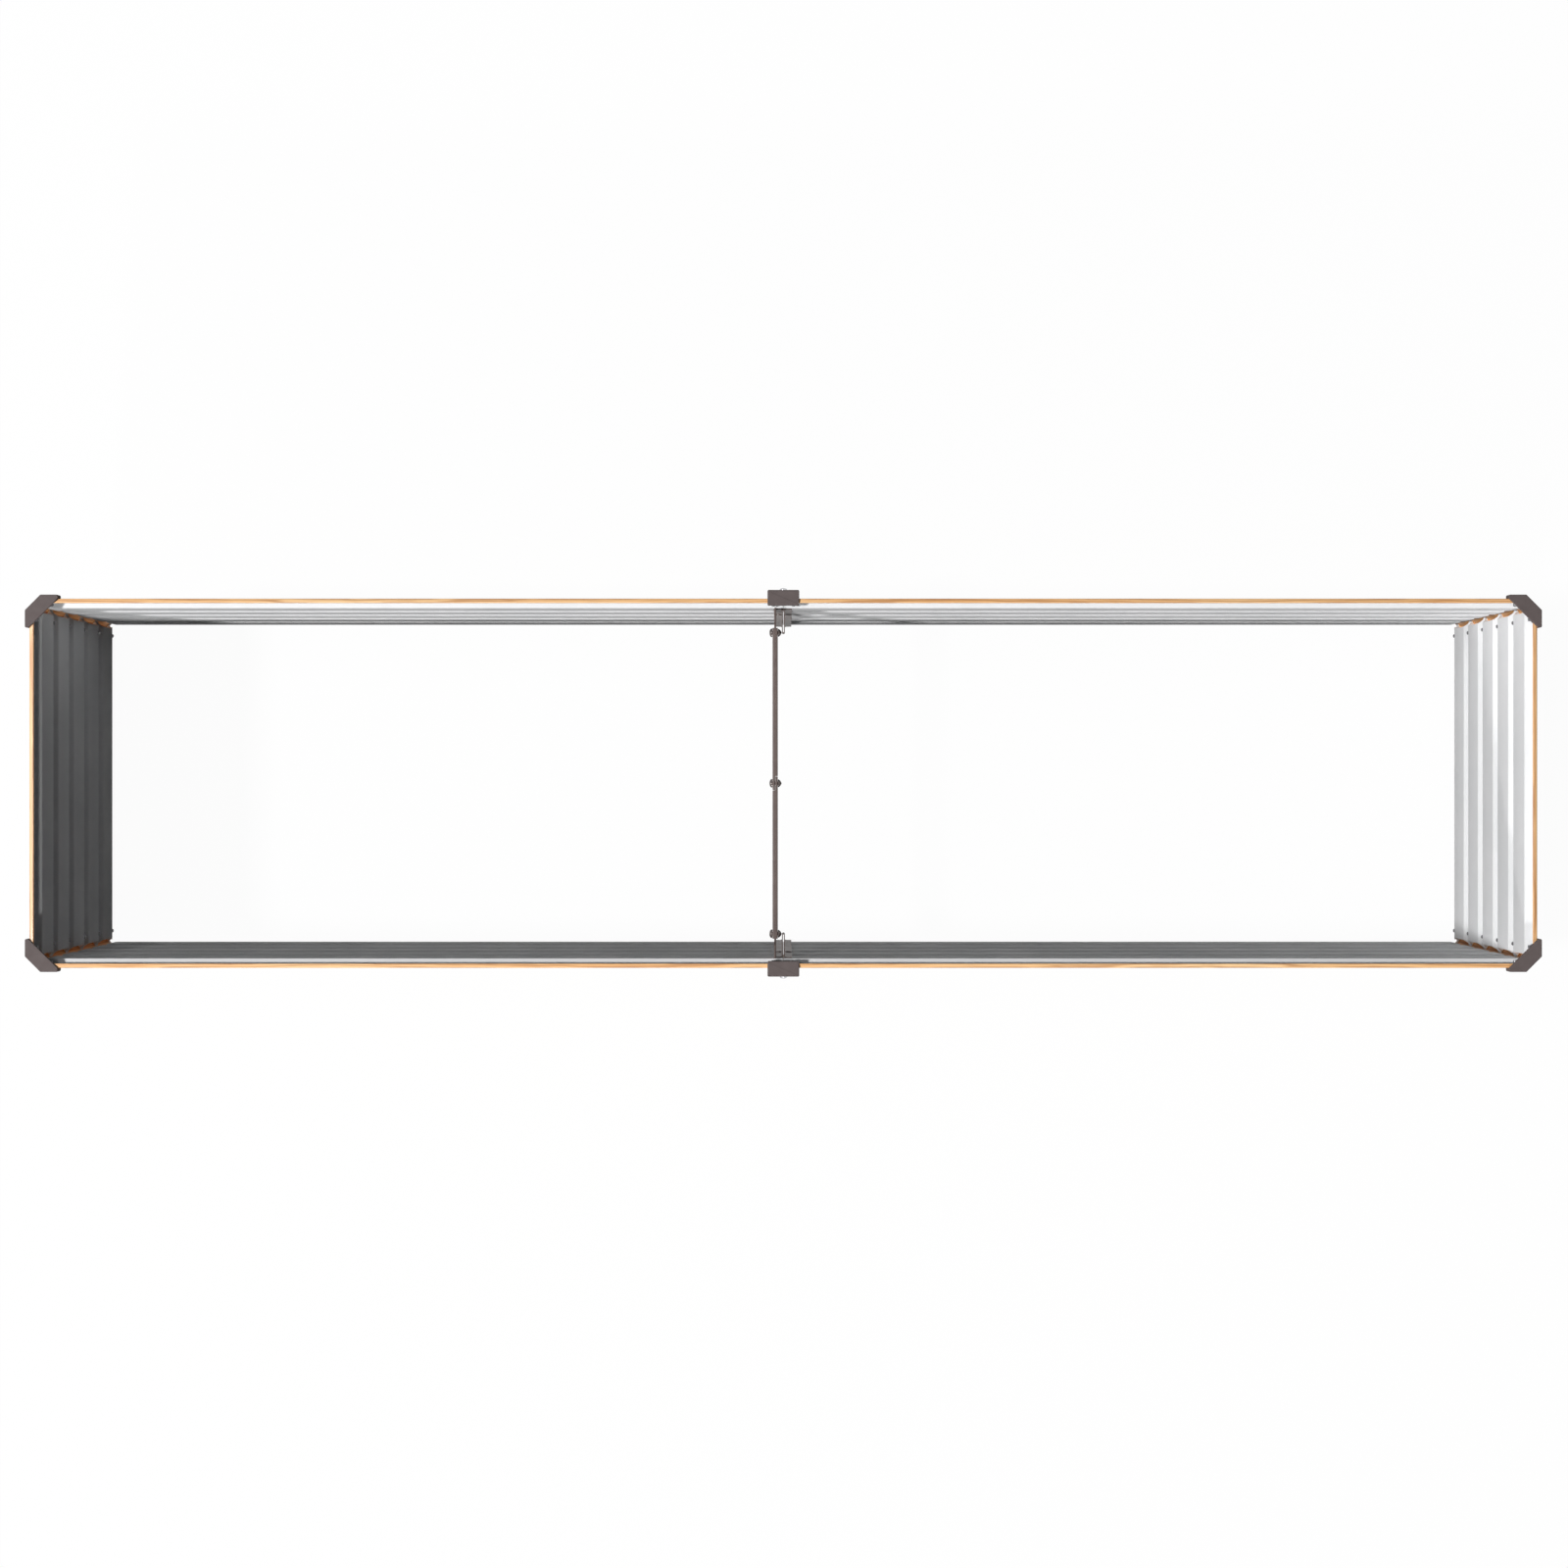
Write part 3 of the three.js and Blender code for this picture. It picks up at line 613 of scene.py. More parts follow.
@dataclass(frozen=True)
class Measures:
    """Sizes that several pieces share, in metres."""

    wall_x: float = 2425 * MM / 2
    wall_y: float = 594 * MM / 2
    height: float = 413 * MM
    sheet: float = 1.0 * MM
    rib_depth: float = 13 * MM
    face: float = 53 * MM
    slope: float = 6.75 * MM
    ridge: float = 12 * MM
    edge: float = 16.25 * MM
    ribs: int = 5
    touch: float = 0.3 * MM
    post_sheet: float = 1.2 * MM
    post_sum: float = 1493.04 * MM
    cap_sum: float = 1497.0 * MM
    corner_inset: float = 33 * MM
    seam_offset: float = 16.3 * MM
    cap_wall: float = 1.3 * MM
    head_height: float = 2.8 * MM
    brace_x: float = -13.3 * MM
    brace_drop: float = 38 * MM

    @property
    def proud(self) -> float:
        """How far a corner cap stands out from the wall, over the post and its heads."""
        return 3 * self.touch + self.post_sheet + self.head_height + self.cap_wall

    @property
    def pitch(self) -> float:
        """Height from one ridge to the next."""
        return self.face + 2 * self.slope + self.ridge

    def ridge_centre(self, number: int) -> float:
        """Height of the middle of a ridge, counted from the ground."""
        return self.edge - self.ridge / 2 + number * self.pitch

    def face_centre(self, number: int) -> float:
        """Height of the middle of an inner face, counted from the ground."""
        return self.edge + self.slope + self.face / 2 + number * self.pitch


# ---- ribbed panels


@dataclass
class RibbedPanel:
    """One ribbed sheet with a rolled hem along its top and bottom edge."""

    name: str
    side: Side
    start: float
    end: float
    wall: float
    cut_start: bool
    cut_end: bool
    size: Measures
    wardrobe: Wardrobe
    hem_width: float = 7.2 * MM
    hem_lip: float = 3.5 * MM
    hem_fall: float = 1.9 * MM
    hem_radius: float = 1.7 * MM
    bend_radius: float = 1.3 * MM
    setback: float = 4 * MM
    tab: float = 5.2 * MM
    tab_soft: float = 0.6 * MM
    slope_soft: float = 0.8 * MM
    cut_from: float = 0.55
    cut_over: float = 0.25
    grain_shift: float = 0.37
    stations: int = 9

    def skin(self) -> Points:
        """The outer skin from the bottom hem to the top hem, as [outwards, up].

        Straight runs between the ribs' corners, each corner rounded. The hems fall a
        little outwards, and their corners are rounded to their own radius.

        Returns:
            Points, one per row.
        """
        s = self.size
        level = np.arange(s.ribs) * s.pitch + s.edge
        up = level[:, None] + np.array([0, s.slope, s.slope + s.face, 2 * s.slope + s.face])
        out = np.tile([0.0, -s.rib_depth, -s.rib_depth, 0.0], (s.ribs, 1))
        ribs = np.stack([out.ravel(), up.ravel()], axis=1)
        half = s.edge / 2
        waist = np.vstack([[[0.0, half]], ribs, [[0.0, s.height - half]]])
        body = rounded(waist, self.bend_radius, 4)
        lip = -self.hem_width
        low = np.array([[lip, self.hem_lip], [lip, 0], [0, self.hem_fall], [0, half]])
        low_hem = rounded(low, self.hem_radius, ARC_STEPS)[:-1]
        high_hem = (low_hem * [1, -1] + [0, s.height])[::-1]
        return np.vstack([low_hem, body, high_hem])

    def shell(self) -> Shell:
        """The skin and its offset as one loop, carried along the wall.

        Between its two ends every point of the loop runs straight along the wall. At a
        cut end the faces and the slopes above the ridges stop short by the setback.
        Each ridge and the slope below it are pressed flat into a tab turned in at 45
        degrees: its points, told by their height above the ridge's middle, move on to
        the outer plane and then as far inwards as along the wall.

        Returns:
            The closed surface.
        """
        s = self.size
        loop = sheet_loop(self.skin(), s.sheet)
        rise = np.clip((-loop[:, 0] / s.rib_depth - self.cut_from) / self.cut_over, 0, 1)
        rise = rise * rise * (3 - 2 * rise)
        above = (loop[:, 1] - s.ridge_centre(0) + s.pitch / 2) % s.pitch - s.pitch / 2
        over = np.clip((above - s.ridge / 2) / self.tab_soft + 1, 0, 1)
        rise = np.maximum(rise, over * (loop[:, 1] < s.height - s.edge))
        first = self.start + self.setback * rise * float(self.cut_start)
        last = self.end - self.setback * rise * float(self.cut_end)
        share = np.concatenate([[0, 0], np.linspace(0, 1, self.stations), [1, 1]])[:, None]
        fold = np.zeros((len(share), 1))
        fold[0] = -self.tab * float(self.cut_start)
        fold[-1] = self.tab * float(self.cut_end)
        below = np.clip((s.ridge / 2 + s.slope + 0.3 * MM + above) / self.slope_soft, 0, 1)
        flat = below * (1 - over)
        flat *= (loop[:, 1] > 2 * self.hem_lip) & (loop[:, 1] < s.height - 2 * self.hem_lip)
        pressed = flat * (np.abs(fold) > 0)
        half = len(loop) // 2
        plane = np.where(np.arange(len(loop)) < half, 0.0, -s.sheet)
        x = first + (last - first) * share + fold * flat
        out = self.wall + loop[:, 0] + (plane - loop[:, 0]) * pressed - np.abs(fold) * flat
        points = stacked(x, out, loop[:, 1])
        tags = np.where(np.arange(len(loop)) < half - 1, 0, 1)
        across = run_length(loop) + self.grain_shift * self.start
        along = np.concatenate([x, x[:, :1]], axis=1)
        return Shell(turned_to(self.side, points), along, across[None, :], tags, sheet=True)

    def make(self) -> None:
        """Builds the panel, coated outside and bare inside."""
        materials = [self.wardrobe.coat, self.wardrobe.inside]
        build(f"{self.name}_sheet", self.shell(), materials, "coated_sheet", self.name)


# ---- posts and covers


@dataclass
class FoldedPost:
    """A sheet folded along vertical bends, as high as the wall."""

    name: str
    plan: Points
    size: Measures
    wardrobe: Wardrobe
    bend_radius: float = 2.0 * MM

    def make(self) -> None:
        """Carries the rounded plan straight up from the ground to the rim."""
        loop = sheet_loop(rounded(self.plan, self.bend_radius, ARC_STEPS), self.size.post_sheet)
        z = np.array([0.0, self.size.height])
        rings = stacked(loop[:, 0], loop[:, 1], z[:, None])
        shell = Shell(rings, z[:, None], run_length(loop)[None, :], sheet=True)
        build(f"{self.name}_fold", shell, [self.wardrobe.coat], "coated_sheet", self.name)


@dataclass
class MouldedCap:
    """A moulded cap: flat top, rounded rim and a skirt whose depth varies round it."""

    name: str
    outline: Points
    depth: Points
    base: float
    wardrobe: Wardrobe
    plate: float = 2.0 * MM
    wall: float = Measures.cap_wall
    fillet: float = 1.1 * MM
    flat_share: float = 2.2

    def shell(self) -> Shell:
        """Rings from the rim of the top, over the fillet, down the skirt and back up.

        The fillet is a quarter circle: its inset is the radius times one minus the
        sine, and its drop the radius times one minus the cosine, of the same angle.

        Returns:
            The closed surface.
        """
        top = self.base + self.plate
        angle = np.linspace(0, math.pi / 2, 6)
        skirt = [0, 0, self.wall / 4, self.wall, self.wall]
        insets = np.concatenate([[self.fillet * self.flat_share], self.fillet * (1 - np.sin(angle)), skirt])
        heights = np.concatenate([[top], top - self.fillet * (1 - np.cos(angle)), [self.base - 0.05 * MM]])
        foot = self.base - self.depth
        count = len(self.outline)
        upper = np.broadcast_to(heights[:, None], (len(heights), count))
        lower = np.stack([foot + THIN_SKIRT, foot, foot, np.full(count, self.base)])
        lower[0] = np.minimum(lower[0], self.base - 0.1 * MM)
        z = np.vstack([upper, lower])
        ring_shapes = np.stack([beside(self.outline, float(d), closed=True) for d in insets])
        rings = np.concatenate([ring_shapes, z[:, :, None]], axis=-1)
        grain = np.concatenate([rings, rings[:, :1]], axis=1)
        return Shell(rings, grain[..., 0], grain[..., 1])

    def make(self) -> None:
        """Builds the cap in the taupe moulding."""
        name, materials = f"{self.name}_moulding", [self.wardrobe.cap]
        build(name, self.shell(), materials, "cap_moulding", self.name, sharp=CAP_SHARP_ANGLE)


@dataclass
class Corner:
    """One corner: the folded post and the cap over it."""

    name: str
    sign_x: int
    sign_y: int
    size: Measures
    wardrobe: Wardrobe
    cap_leg: float = 53 * MM
    cap_chamfer: float = 24.9 * MM
    cap_band: float = 24.4 * MM
    cap_skirt: float = 14 * MM
    cap_radius: float = 2.4 * MM

    def post_plan(self) -> Points:
        """Inner skin of the post: two legs and a face across the corner."""
        s = self.size
        skin_x, skin_y = s.wall_x + s.touch, s.wall_y + s.touch
        within = s.proud - self.cap_leg + s.cap_wall + s.touch
        leg_x, leg_y = s.wall_x + within, s.wall_y + within
        bend_x, bend_y = s.post_sum - skin_y, s.post_sum - skin_x
        corners = np.array([[leg_x, skin_y], [bend_x, skin_y], [skin_x, bend_y], [skin_x, leg_y]])
        return corners * [self.sign_x, self.sign_y]

    def cap_outline(self) -> tuple[Points, Points]:
        """Outline of the cap and the depth of its skirt at each point.

        The skirt runs wherever the outline lies outside either wall's outer skin.

        Returns:
            The outline, anticlockwise, and the depths.
        """
        s = self.size
        x, y = s.wall_x + s.proud, s.wall_y + s.proud
        leg_x, leg_y = x - self.cap_leg, y - self.cap_leg
        inner = s.cap_sum - math.sqrt(2) * self.cap_band
        across = [[x, leg_y], [x, y - self.cap_chamfer], [x - self.cap_chamfer, y], [leg_x, y]]
        corners = np.array([*across, [leg_x, inner - leg_x], [inner - leg_y, leg_y]])
        outline = rounded(corners, self.cap_radius, ARC_STEPS, closed=True)
        outline = outline[np.linalg.norm(outline - np.roll(outline, 1, axis=0), axis=1) > 1e-6]
        outline = split_at(outline, self.outside(outline))
        depth = np.where(self.outside(outline) > 0, self.cap_skirt, THIN_SKIRT)
        outline = outline * [self.sign_x, self.sign_y]
        if self.sign_x * self.sign_y < 0:
            return outline[::-1], depth[::-1]
        return outline, depth

    def outside(self, points: Points) -> Points:
        """How far points lie outside the nearer wall's outer skin."""
        s = self.size
        return np.maximum(points[:, 0] - s.wall_x, points[:, 1] - s.wall_y) - s.touch

    def make(self) -> None:
        """Builds the post and the cap.
        """
        plan = self.post_plan()
        if self.sign_x * self.sign_y < 0:
            plan = plan[::-1]
        FoldedPost(f"{self.name}_corner_post", plan, self.size, self.wardrobe).make()
        outline, depth = self.cap_outline()
        base = self.size.height + self.size.touch
        MouldedCap(f"{self.name}_corner_cap", outline, depth, base, self.wardrobe).make()


# ---- fasteners


@dataclass(frozen=True)
class Turned:
    """A fastener as rings along its own axis, some of them hexagonal."""

    place: Points
    radius: Points
    hexagonal: Points
    steps: int = 36

    def rings(self) -> Points:
        """Rings about the +Y axis as [ring, step, xyz].

        A hexagonal ring's radius is half its flats over the cosine of the angle from
        the nearest flat's middle, so its stated radius is that of the flats.

        Returns:
            The rings.
        """
        angle = np.arange(self.steps) * 2 * math.pi / self.steps
        from_flat = (angle + math.pi / 6) % (math.pi / 3) - math.pi / 6
        hexagon = np.minimum(1 / np.cos(from_flat), 1.11)
        factor = np.where(self.hexagonal[:, None] > 0, hexagon[None, :], 1.0)
        reach = self.radius[:, None] * factor
        return stacked(reach * np.sin(angle), self.place[:, None], reach * np.cos(angle))


def shell_of(rings: Points) -> Shell:
    """A shell whose grain coordinates are the steps and the rings' own numbers."""
    count, steps = rings.shape[:2]
    return Shell(rings, np.arange(count)[:, None] * MM, np.arange(steps + 1)[None, :] * MM)


@dataclass(frozen=True)
class PanelScrew:
    """A screw with a domed head and a nut, along +Y with the nut towards the bed."""

    head_radius: float = 6 * MM
    head_height: float = Measures.head_height
    radius: float = 3 * MM
    flats: float = 10 * MM
    nut_height: float = 5 * MM
    reach: float = 11 * MM
    touch: float = Measures.touch
    chamfer: float = 0.5 * MM
    chamfer_share: float = 0.93
    tip: float = 0.8 * MM
    tip_share: float = 0.72
    crown_angle: float = 0.28

    def profile(self, head_seat: float, nut_seat: float) -> Turned:
        """Rings from the crown of the head to the tip of the screw.

        The head is a low dome: its radius is the head's times the sine, and its height
        the head's times the cosine, of an angle from the crown to the brim.

        Args:
            head_seat: Where the head bears.
            nut_seat: Where the nut bears.

        Returns:
            The fastener.
        """
        angle = np.linspace(self.crown_angle, math.pi / 2, 6)
        seat = head_seat + self.touch
        rise = (self.head_height - self.chamfer) / math.cos(self.crown_angle)
        dome = seat + self.chamfer + rise * np.cos(angle)
        brim = self.head_radius * np.sin(angle)
        top = nut_seat - self.touch
        low = top - self.nut_height
        half, thread = self.flats / 2, self.radius
        tip = nut_seat - self.reach
        nut = [top, top - self.chamfer, low + self.chamfer, low]
        place = np.concatenate([dome, [seat, seat, top], nut, [low, tip + self.tip, tip]])
        nut = [half * self.chamfer_share, half, half, half * self.chamfer_share]
        shank = [thread, thread, thread * self.tip_share]
        radius = np.concatenate([brim, [self.head_radius, thread, thread], nut, shank])
        hexagonal = np.concatenate([np.zeros(len(dome)), [0, 0, 0, 1, 1, 1, 1, 0, 0, 0]])
        return Turned(place, radius, hexagonal)


@dataclass
class PanelFixings:
    """Every screw and nut that joins the panels to the posts, covers and brackets."""

    size: Measures
    wardrobe: Wardrobe
    screw: PanelScrew = field(default_factory=PanelScrew)

    def column(self, name: str, side: Side, x: float, wall: float) -> None:
        """One column of screws, from the bottom ridge to the top one.

        Args:
            name: Name that the column's CAD nodes share.
            side: Wall that the column is on.
            x: Distance along that wall's frame.
            wall: Distance of the wall's outer skin from the middle of the bed.
        """
        s = self.size
        rings = self.screw.profile(wall + s.touch + s.post_sheet, wall - s.sheet).rings()
        for level in range(s.ribs + 1):
            label = {0: "low", s.ribs: "high"}.get(level, f"level_{level}")
            moved = turned_to(side, rings + [x, 0.0, s.ridge_centre(level)])
            nodes = [f"{name}_{label}_bolt"] if level in (0, s.ribs) else []
            build(f"{name}_{label}_screw", shell_of(moved), [self.wardrobe.zinc], "fastener_steel", *nodes)

    def make(self) -> None:
        """Builds the columns of the end walls, then of the long walls.
        """
        s = self.size
        end_x = s.wall_y - s.corner_inset
        long_x = s.wall_x - s.corner_inset
        for name, side, way in (("right", Side.RIGHT, -1), ("left", Side.LEFT, 1)):
            for label, sign in (("back", way), ("front", -way)):
                self.column(f"{name}_end_{label}", side, sign * end_x, s.wall_x)
        for name, side, way in (("back", Side.BACK, 1), ("front", Side.FRONT, -1)):
            for label, sign in (("right", way), ("left", -way)):
                self.column(f"{name}_{label}_corner", side, sign * long_x, s.wall_y)
                self.column(f"{name}_{label}_seam", side, sign * s.seam_offset, s.wall_y)


# ---- mid posts


@dataclass
class MidPost:
    """One mid post: the boxed cover outside, its cap and screw, and the bracket inside."""

    name: str
    side: Side
    size: Measures
    wardrobe: Wardrobe
    screw: PanelScrew = field(default_factory=PanelScrew)
    cover_width: float = 47.8 * MM
    cover_depth: float = 11.8 * MM
    cover_lip: float = 14 * MM
    cap_inner: float = 285.9 * MM
    cap_radius: float = 2.2 * MM
    cap_skirt: float = 20 * MM
    cap_lip: float = 7 * MM
    cap_screw_drop: float = 9 * MM
    bracket_bolts: tuple[float, float] = (-7 * MM, 8 * MM)
    bracket_sheet: float = 1.5 * MM
    bracket_reach: tuple[float, float] = (15.5 * MM, 14 * MM)
    bracket_drop: float = 25 * MM
    fold_half: float = 2.4 * MM
    fold_bend: float = 3.2 * MM
    fold_reach: float = 38 * MM
    fold_tip: float = 28 * MM
    lug_x: float = Measures.brace_x
    lug_sheet: float = 3 * MM
    lug_height: float = 60 * MM
    lug_depth: float = 20 * MM
    tongue_root: float = 252.3 * MM
    tongue_tip: float = 236.8 * MM
    tongue_half: float = 6.2 * MM
    brace_drop: float = Measures.brace_drop

    def cover(self) -> None:
        """The cover: open towards the wall, with a lip each side.
        """
        s = self.size
        half = self.cover_width / 2
        inner = s.wall_y + s.touch
        outer = inner + self.cover_depth
        lip = half - self.cover_lip
        right = np.array([[lip, inner], [half, inner], [half, outer]])
        plan = np.vstack([right, right[::-1] * [-1, 1]])
        if self.side is Side.FRONT:
            plan = -plan
        FoldedPost(f"{self.name}_seam_cover", plan, s, self.wardrobe).make()

    def cap(self) -> None:
        """The cap: a skirt outside the wall, a lip inside the bed and none between.
        """
        s = self.size
        half = self.cover_width / 2 + s.touch + s.cap_wall
        outer = self.cap_face()
        corners = np.array([[-half, self.cap_inner], [half, self.cap_inner], [half, outer], [-half, outer]])
        outline = rounded(corners, self.cap_radius, ARC_STEPS, closed=True)
        outline = split_at(outline, outline[:, 1] - s.wall_y - s.touch)
        outline = split_at(outline, outline[:, 1] - self.cap_inner - 2 * s.cap_wall)
        lip = outline[:, 1] < self.cap_inner + 2 * s.cap_wall
        skirt = outline[:, 1] > s.wall_y + s.touch
        depth = np.where(skirt, self.cap_skirt, np.where(lip, self.cap_lip, THIN_SKIRT))
        if self.side is Side.FRONT:
            outline = -outline
        MouldedCap(f"{self.name}_mid_cap", outline, depth, s.height + s.touch, self.wardrobe).make()

    def cap_face(self) -> float:
        """Distance of the cap's outer face from the middle of the bed."""
        return self.size.wall_y + 2 * self.size.touch + self.cover_depth + self.size.cap_wall

    def cap_screw(self) -> None:
        """The screw that holds the cap: a rounded head with a small flange.

        The head's radius is its full one times the sine of the dome's angle to the
        power of 0.8, which makes it fuller than a sphere. The thread ends in a point.
        """
        s = self.size
        seat = self.cap_face() + s.touch
        angle = np.linspace(CROWN_ANGLE, math.pi / 2, 7)
        flange, dome_height = 0.8 * MM, 2.7 * MM
        dome = seat + flange + dome_height * np.cos(angle) / math.cos(CROWN_ANGLE)
        head, thread, point = 6 * MM, 2.5 * MM, 0.4 * MM
        shank_end, tip = seat - 7.5 * MM, seat - 10 * MM
        place = np.concatenate([dome, [seat, seat, shank_end, tip]])
        radius = np.concatenate([head * np.sin(angle) ** 0.8, [head, thread, thread, point]])
        rings = Turned(place, radius, np.zeros(len(place))).rings()
        rings = turned_to(self.side, rings + [0.0, 0.0, s.height - self.cap_screw_drop])
        name = f"{self.name}_mid_cap_screw"
        build(f"{name}_head", shell_of(rings), [self.wardrobe.bright_screw], "fastener_steel", name)

    def bracket_screws(self) -> None:
        """The two screws through the bracket, their heads inside the bed.
        """
        s = self.size
        strip_inner = s.wall_y - s.rib_depth - s.sheet - s.touch - self.bracket_sheet
        rings = self.screw.profile(-strip_inner, -s.wall_y + s.rib_depth).rings()
        z = s.face_centre(s.ribs - 2)
        for label, x in zip(("left", "right"), self.bracket_bolts):
            moved = rings + [x if self.side is Side.FRONT else -x, 0.0, z]
            turn = Side.FRONT if self.side is Side.BACK else Side.BACK
            name, shell = f"{self.name}_bracket_{label}", shell_of(turned_to(turn, moved))
            build(f"{name}_screw", shell, [self.wardrobe.dark_screw], "fastener_steel", f"{name}_bolt")

    def bracket_side(self) -> Points:
        """Where the bracket bears: the inner skin's line, then a sheet further in."""
        s = self.size
        outer = s.wall_y - s.rib_depth - s.sheet - s.touch
        return np.array([outer, outer - self.bracket_sheet])

    def upright(self, plan: Points, thickness: float, low: Points, high: Points) -> Shell:
        """A bent sheet that stands along a plan line, with its own height at each point.

        Args:
            plan: Line of one skin, as [x, y].
            thickness: Distance to the other skin, on the line's left.
            low: Height of the lower edge at each point.
            high: Height of the upper edge at each point.

        Returns:
            The closed surface, turned to this post's own side.
        """
        other = beside(plan, thickness)
        chamfer = 0.25
        edge = chamfer * abs(thickness)
        inner = plan + (other - plan) * chamfer
        outer = plan + (other - plan) * (1 - chamfer)
        lines = np.stack([plan, plan, inner, outer, other, other, outer, inner], axis=1)
        drop = np.array([edge, -edge, 0, 0, -edge, edge, 0, 0])
        top = np.array([0, 1, 1, 1, 1, 0, 0, 0])
        z = np.where(top[None, :] > 0, high[:, None], low[:, None]) + drop[None, :]
        return shell_of(turned_to(self.side, stacked(lines[..., 0], lines[..., 1], z)))

    def bracket(self) -> None:
        """The bracket: a flange each side, the folded lug between, and the brace's lug.

        A lug's lower and upper edges run in straight lines from the wall to its deep
        part and on to its tip. A flange's run level, from the ground to near the rim.
        """
        s = self.size
        outer, inner = self.bracket_side()
        tip = inner - self.fold_reach
        z = s.height - self.brace_drop
        left, right = self.bracket_reach
        half = self.fold_half
        lug = [[-half, inner], [-half, tip], [half, tip], [half, inner]]
        turns = np.array([[-left, inner], *lug, [right, inner]])
        first = rounded(turns[:3], self.fold_bend, 6)
        nose = rounded(turns[1:5], half * NOSE_SHARE, ARC_STEPS)[1:-1]
        last = rounded(turns[3:], self.fold_bend, 6)
        plan = np.vstack([first[:-1], nose, last[1:]])
        way = -1.0 if self.side is Side.FRONT else 1.0
        plan = plan * [way, 1.0]
        deep = inner - self.lug_depth
        below, above = self.lug_height / 3, self.lug_height * 0.375
        reach = [tip, deep, (inner + outer) / 2]
        low = np.interp(plan[:, 1], reach, [z - self.fold_tip / 2, z - below, z - self.lug_height / 2])
        high = np.interp(plan[:, 1], reach, [z + self.fold_tip / 2, z + above, z + self.lug_height / 2])
        flange = plan[:, 1] > inner - self.fold_bend / 2
        low = np.where(flange, 0.0, low)
        high = np.where(flange, s.height - self.bracket_drop, high)
        name, shell = f"{self.name}_seam_bracket", self.upright(plan, way * self.bracket_sheet, low, high)
        build(f"{name}_sheet", shell, [self.wardrobe.bracket], "bracket_steel", name)
        root = self.tongue_root
        stations = np.array([outer - 0.1 * MM, deep, root, root - 0.3 * MM, self.tongue_tip])
        tongue = [self.tongue_half] * 3
        low = z - np.array([self.lug_height / 2, below, *tongue])
        high = z + np.array([self.lug_height / 2, above, *tongue])
        x = way * self.lug_x
        line = np.stack([np.full(len(stations), x - self.lug_sheet / 2), stations], axis=1)
        shell = self.upright(line, self.lug_sheet, low, high)
        build(f"{self.name}_brace_lug", shell, [self.wardrobe.bracket], "bracket_steel")

    def make(self) -> None:
        """Builds the cover, cap, screws and bracket."""
        self.cover()
        self.cap()
        self.cap_screw()
        self.bracket_screws()
        self.bracket()


# ---- cross brace


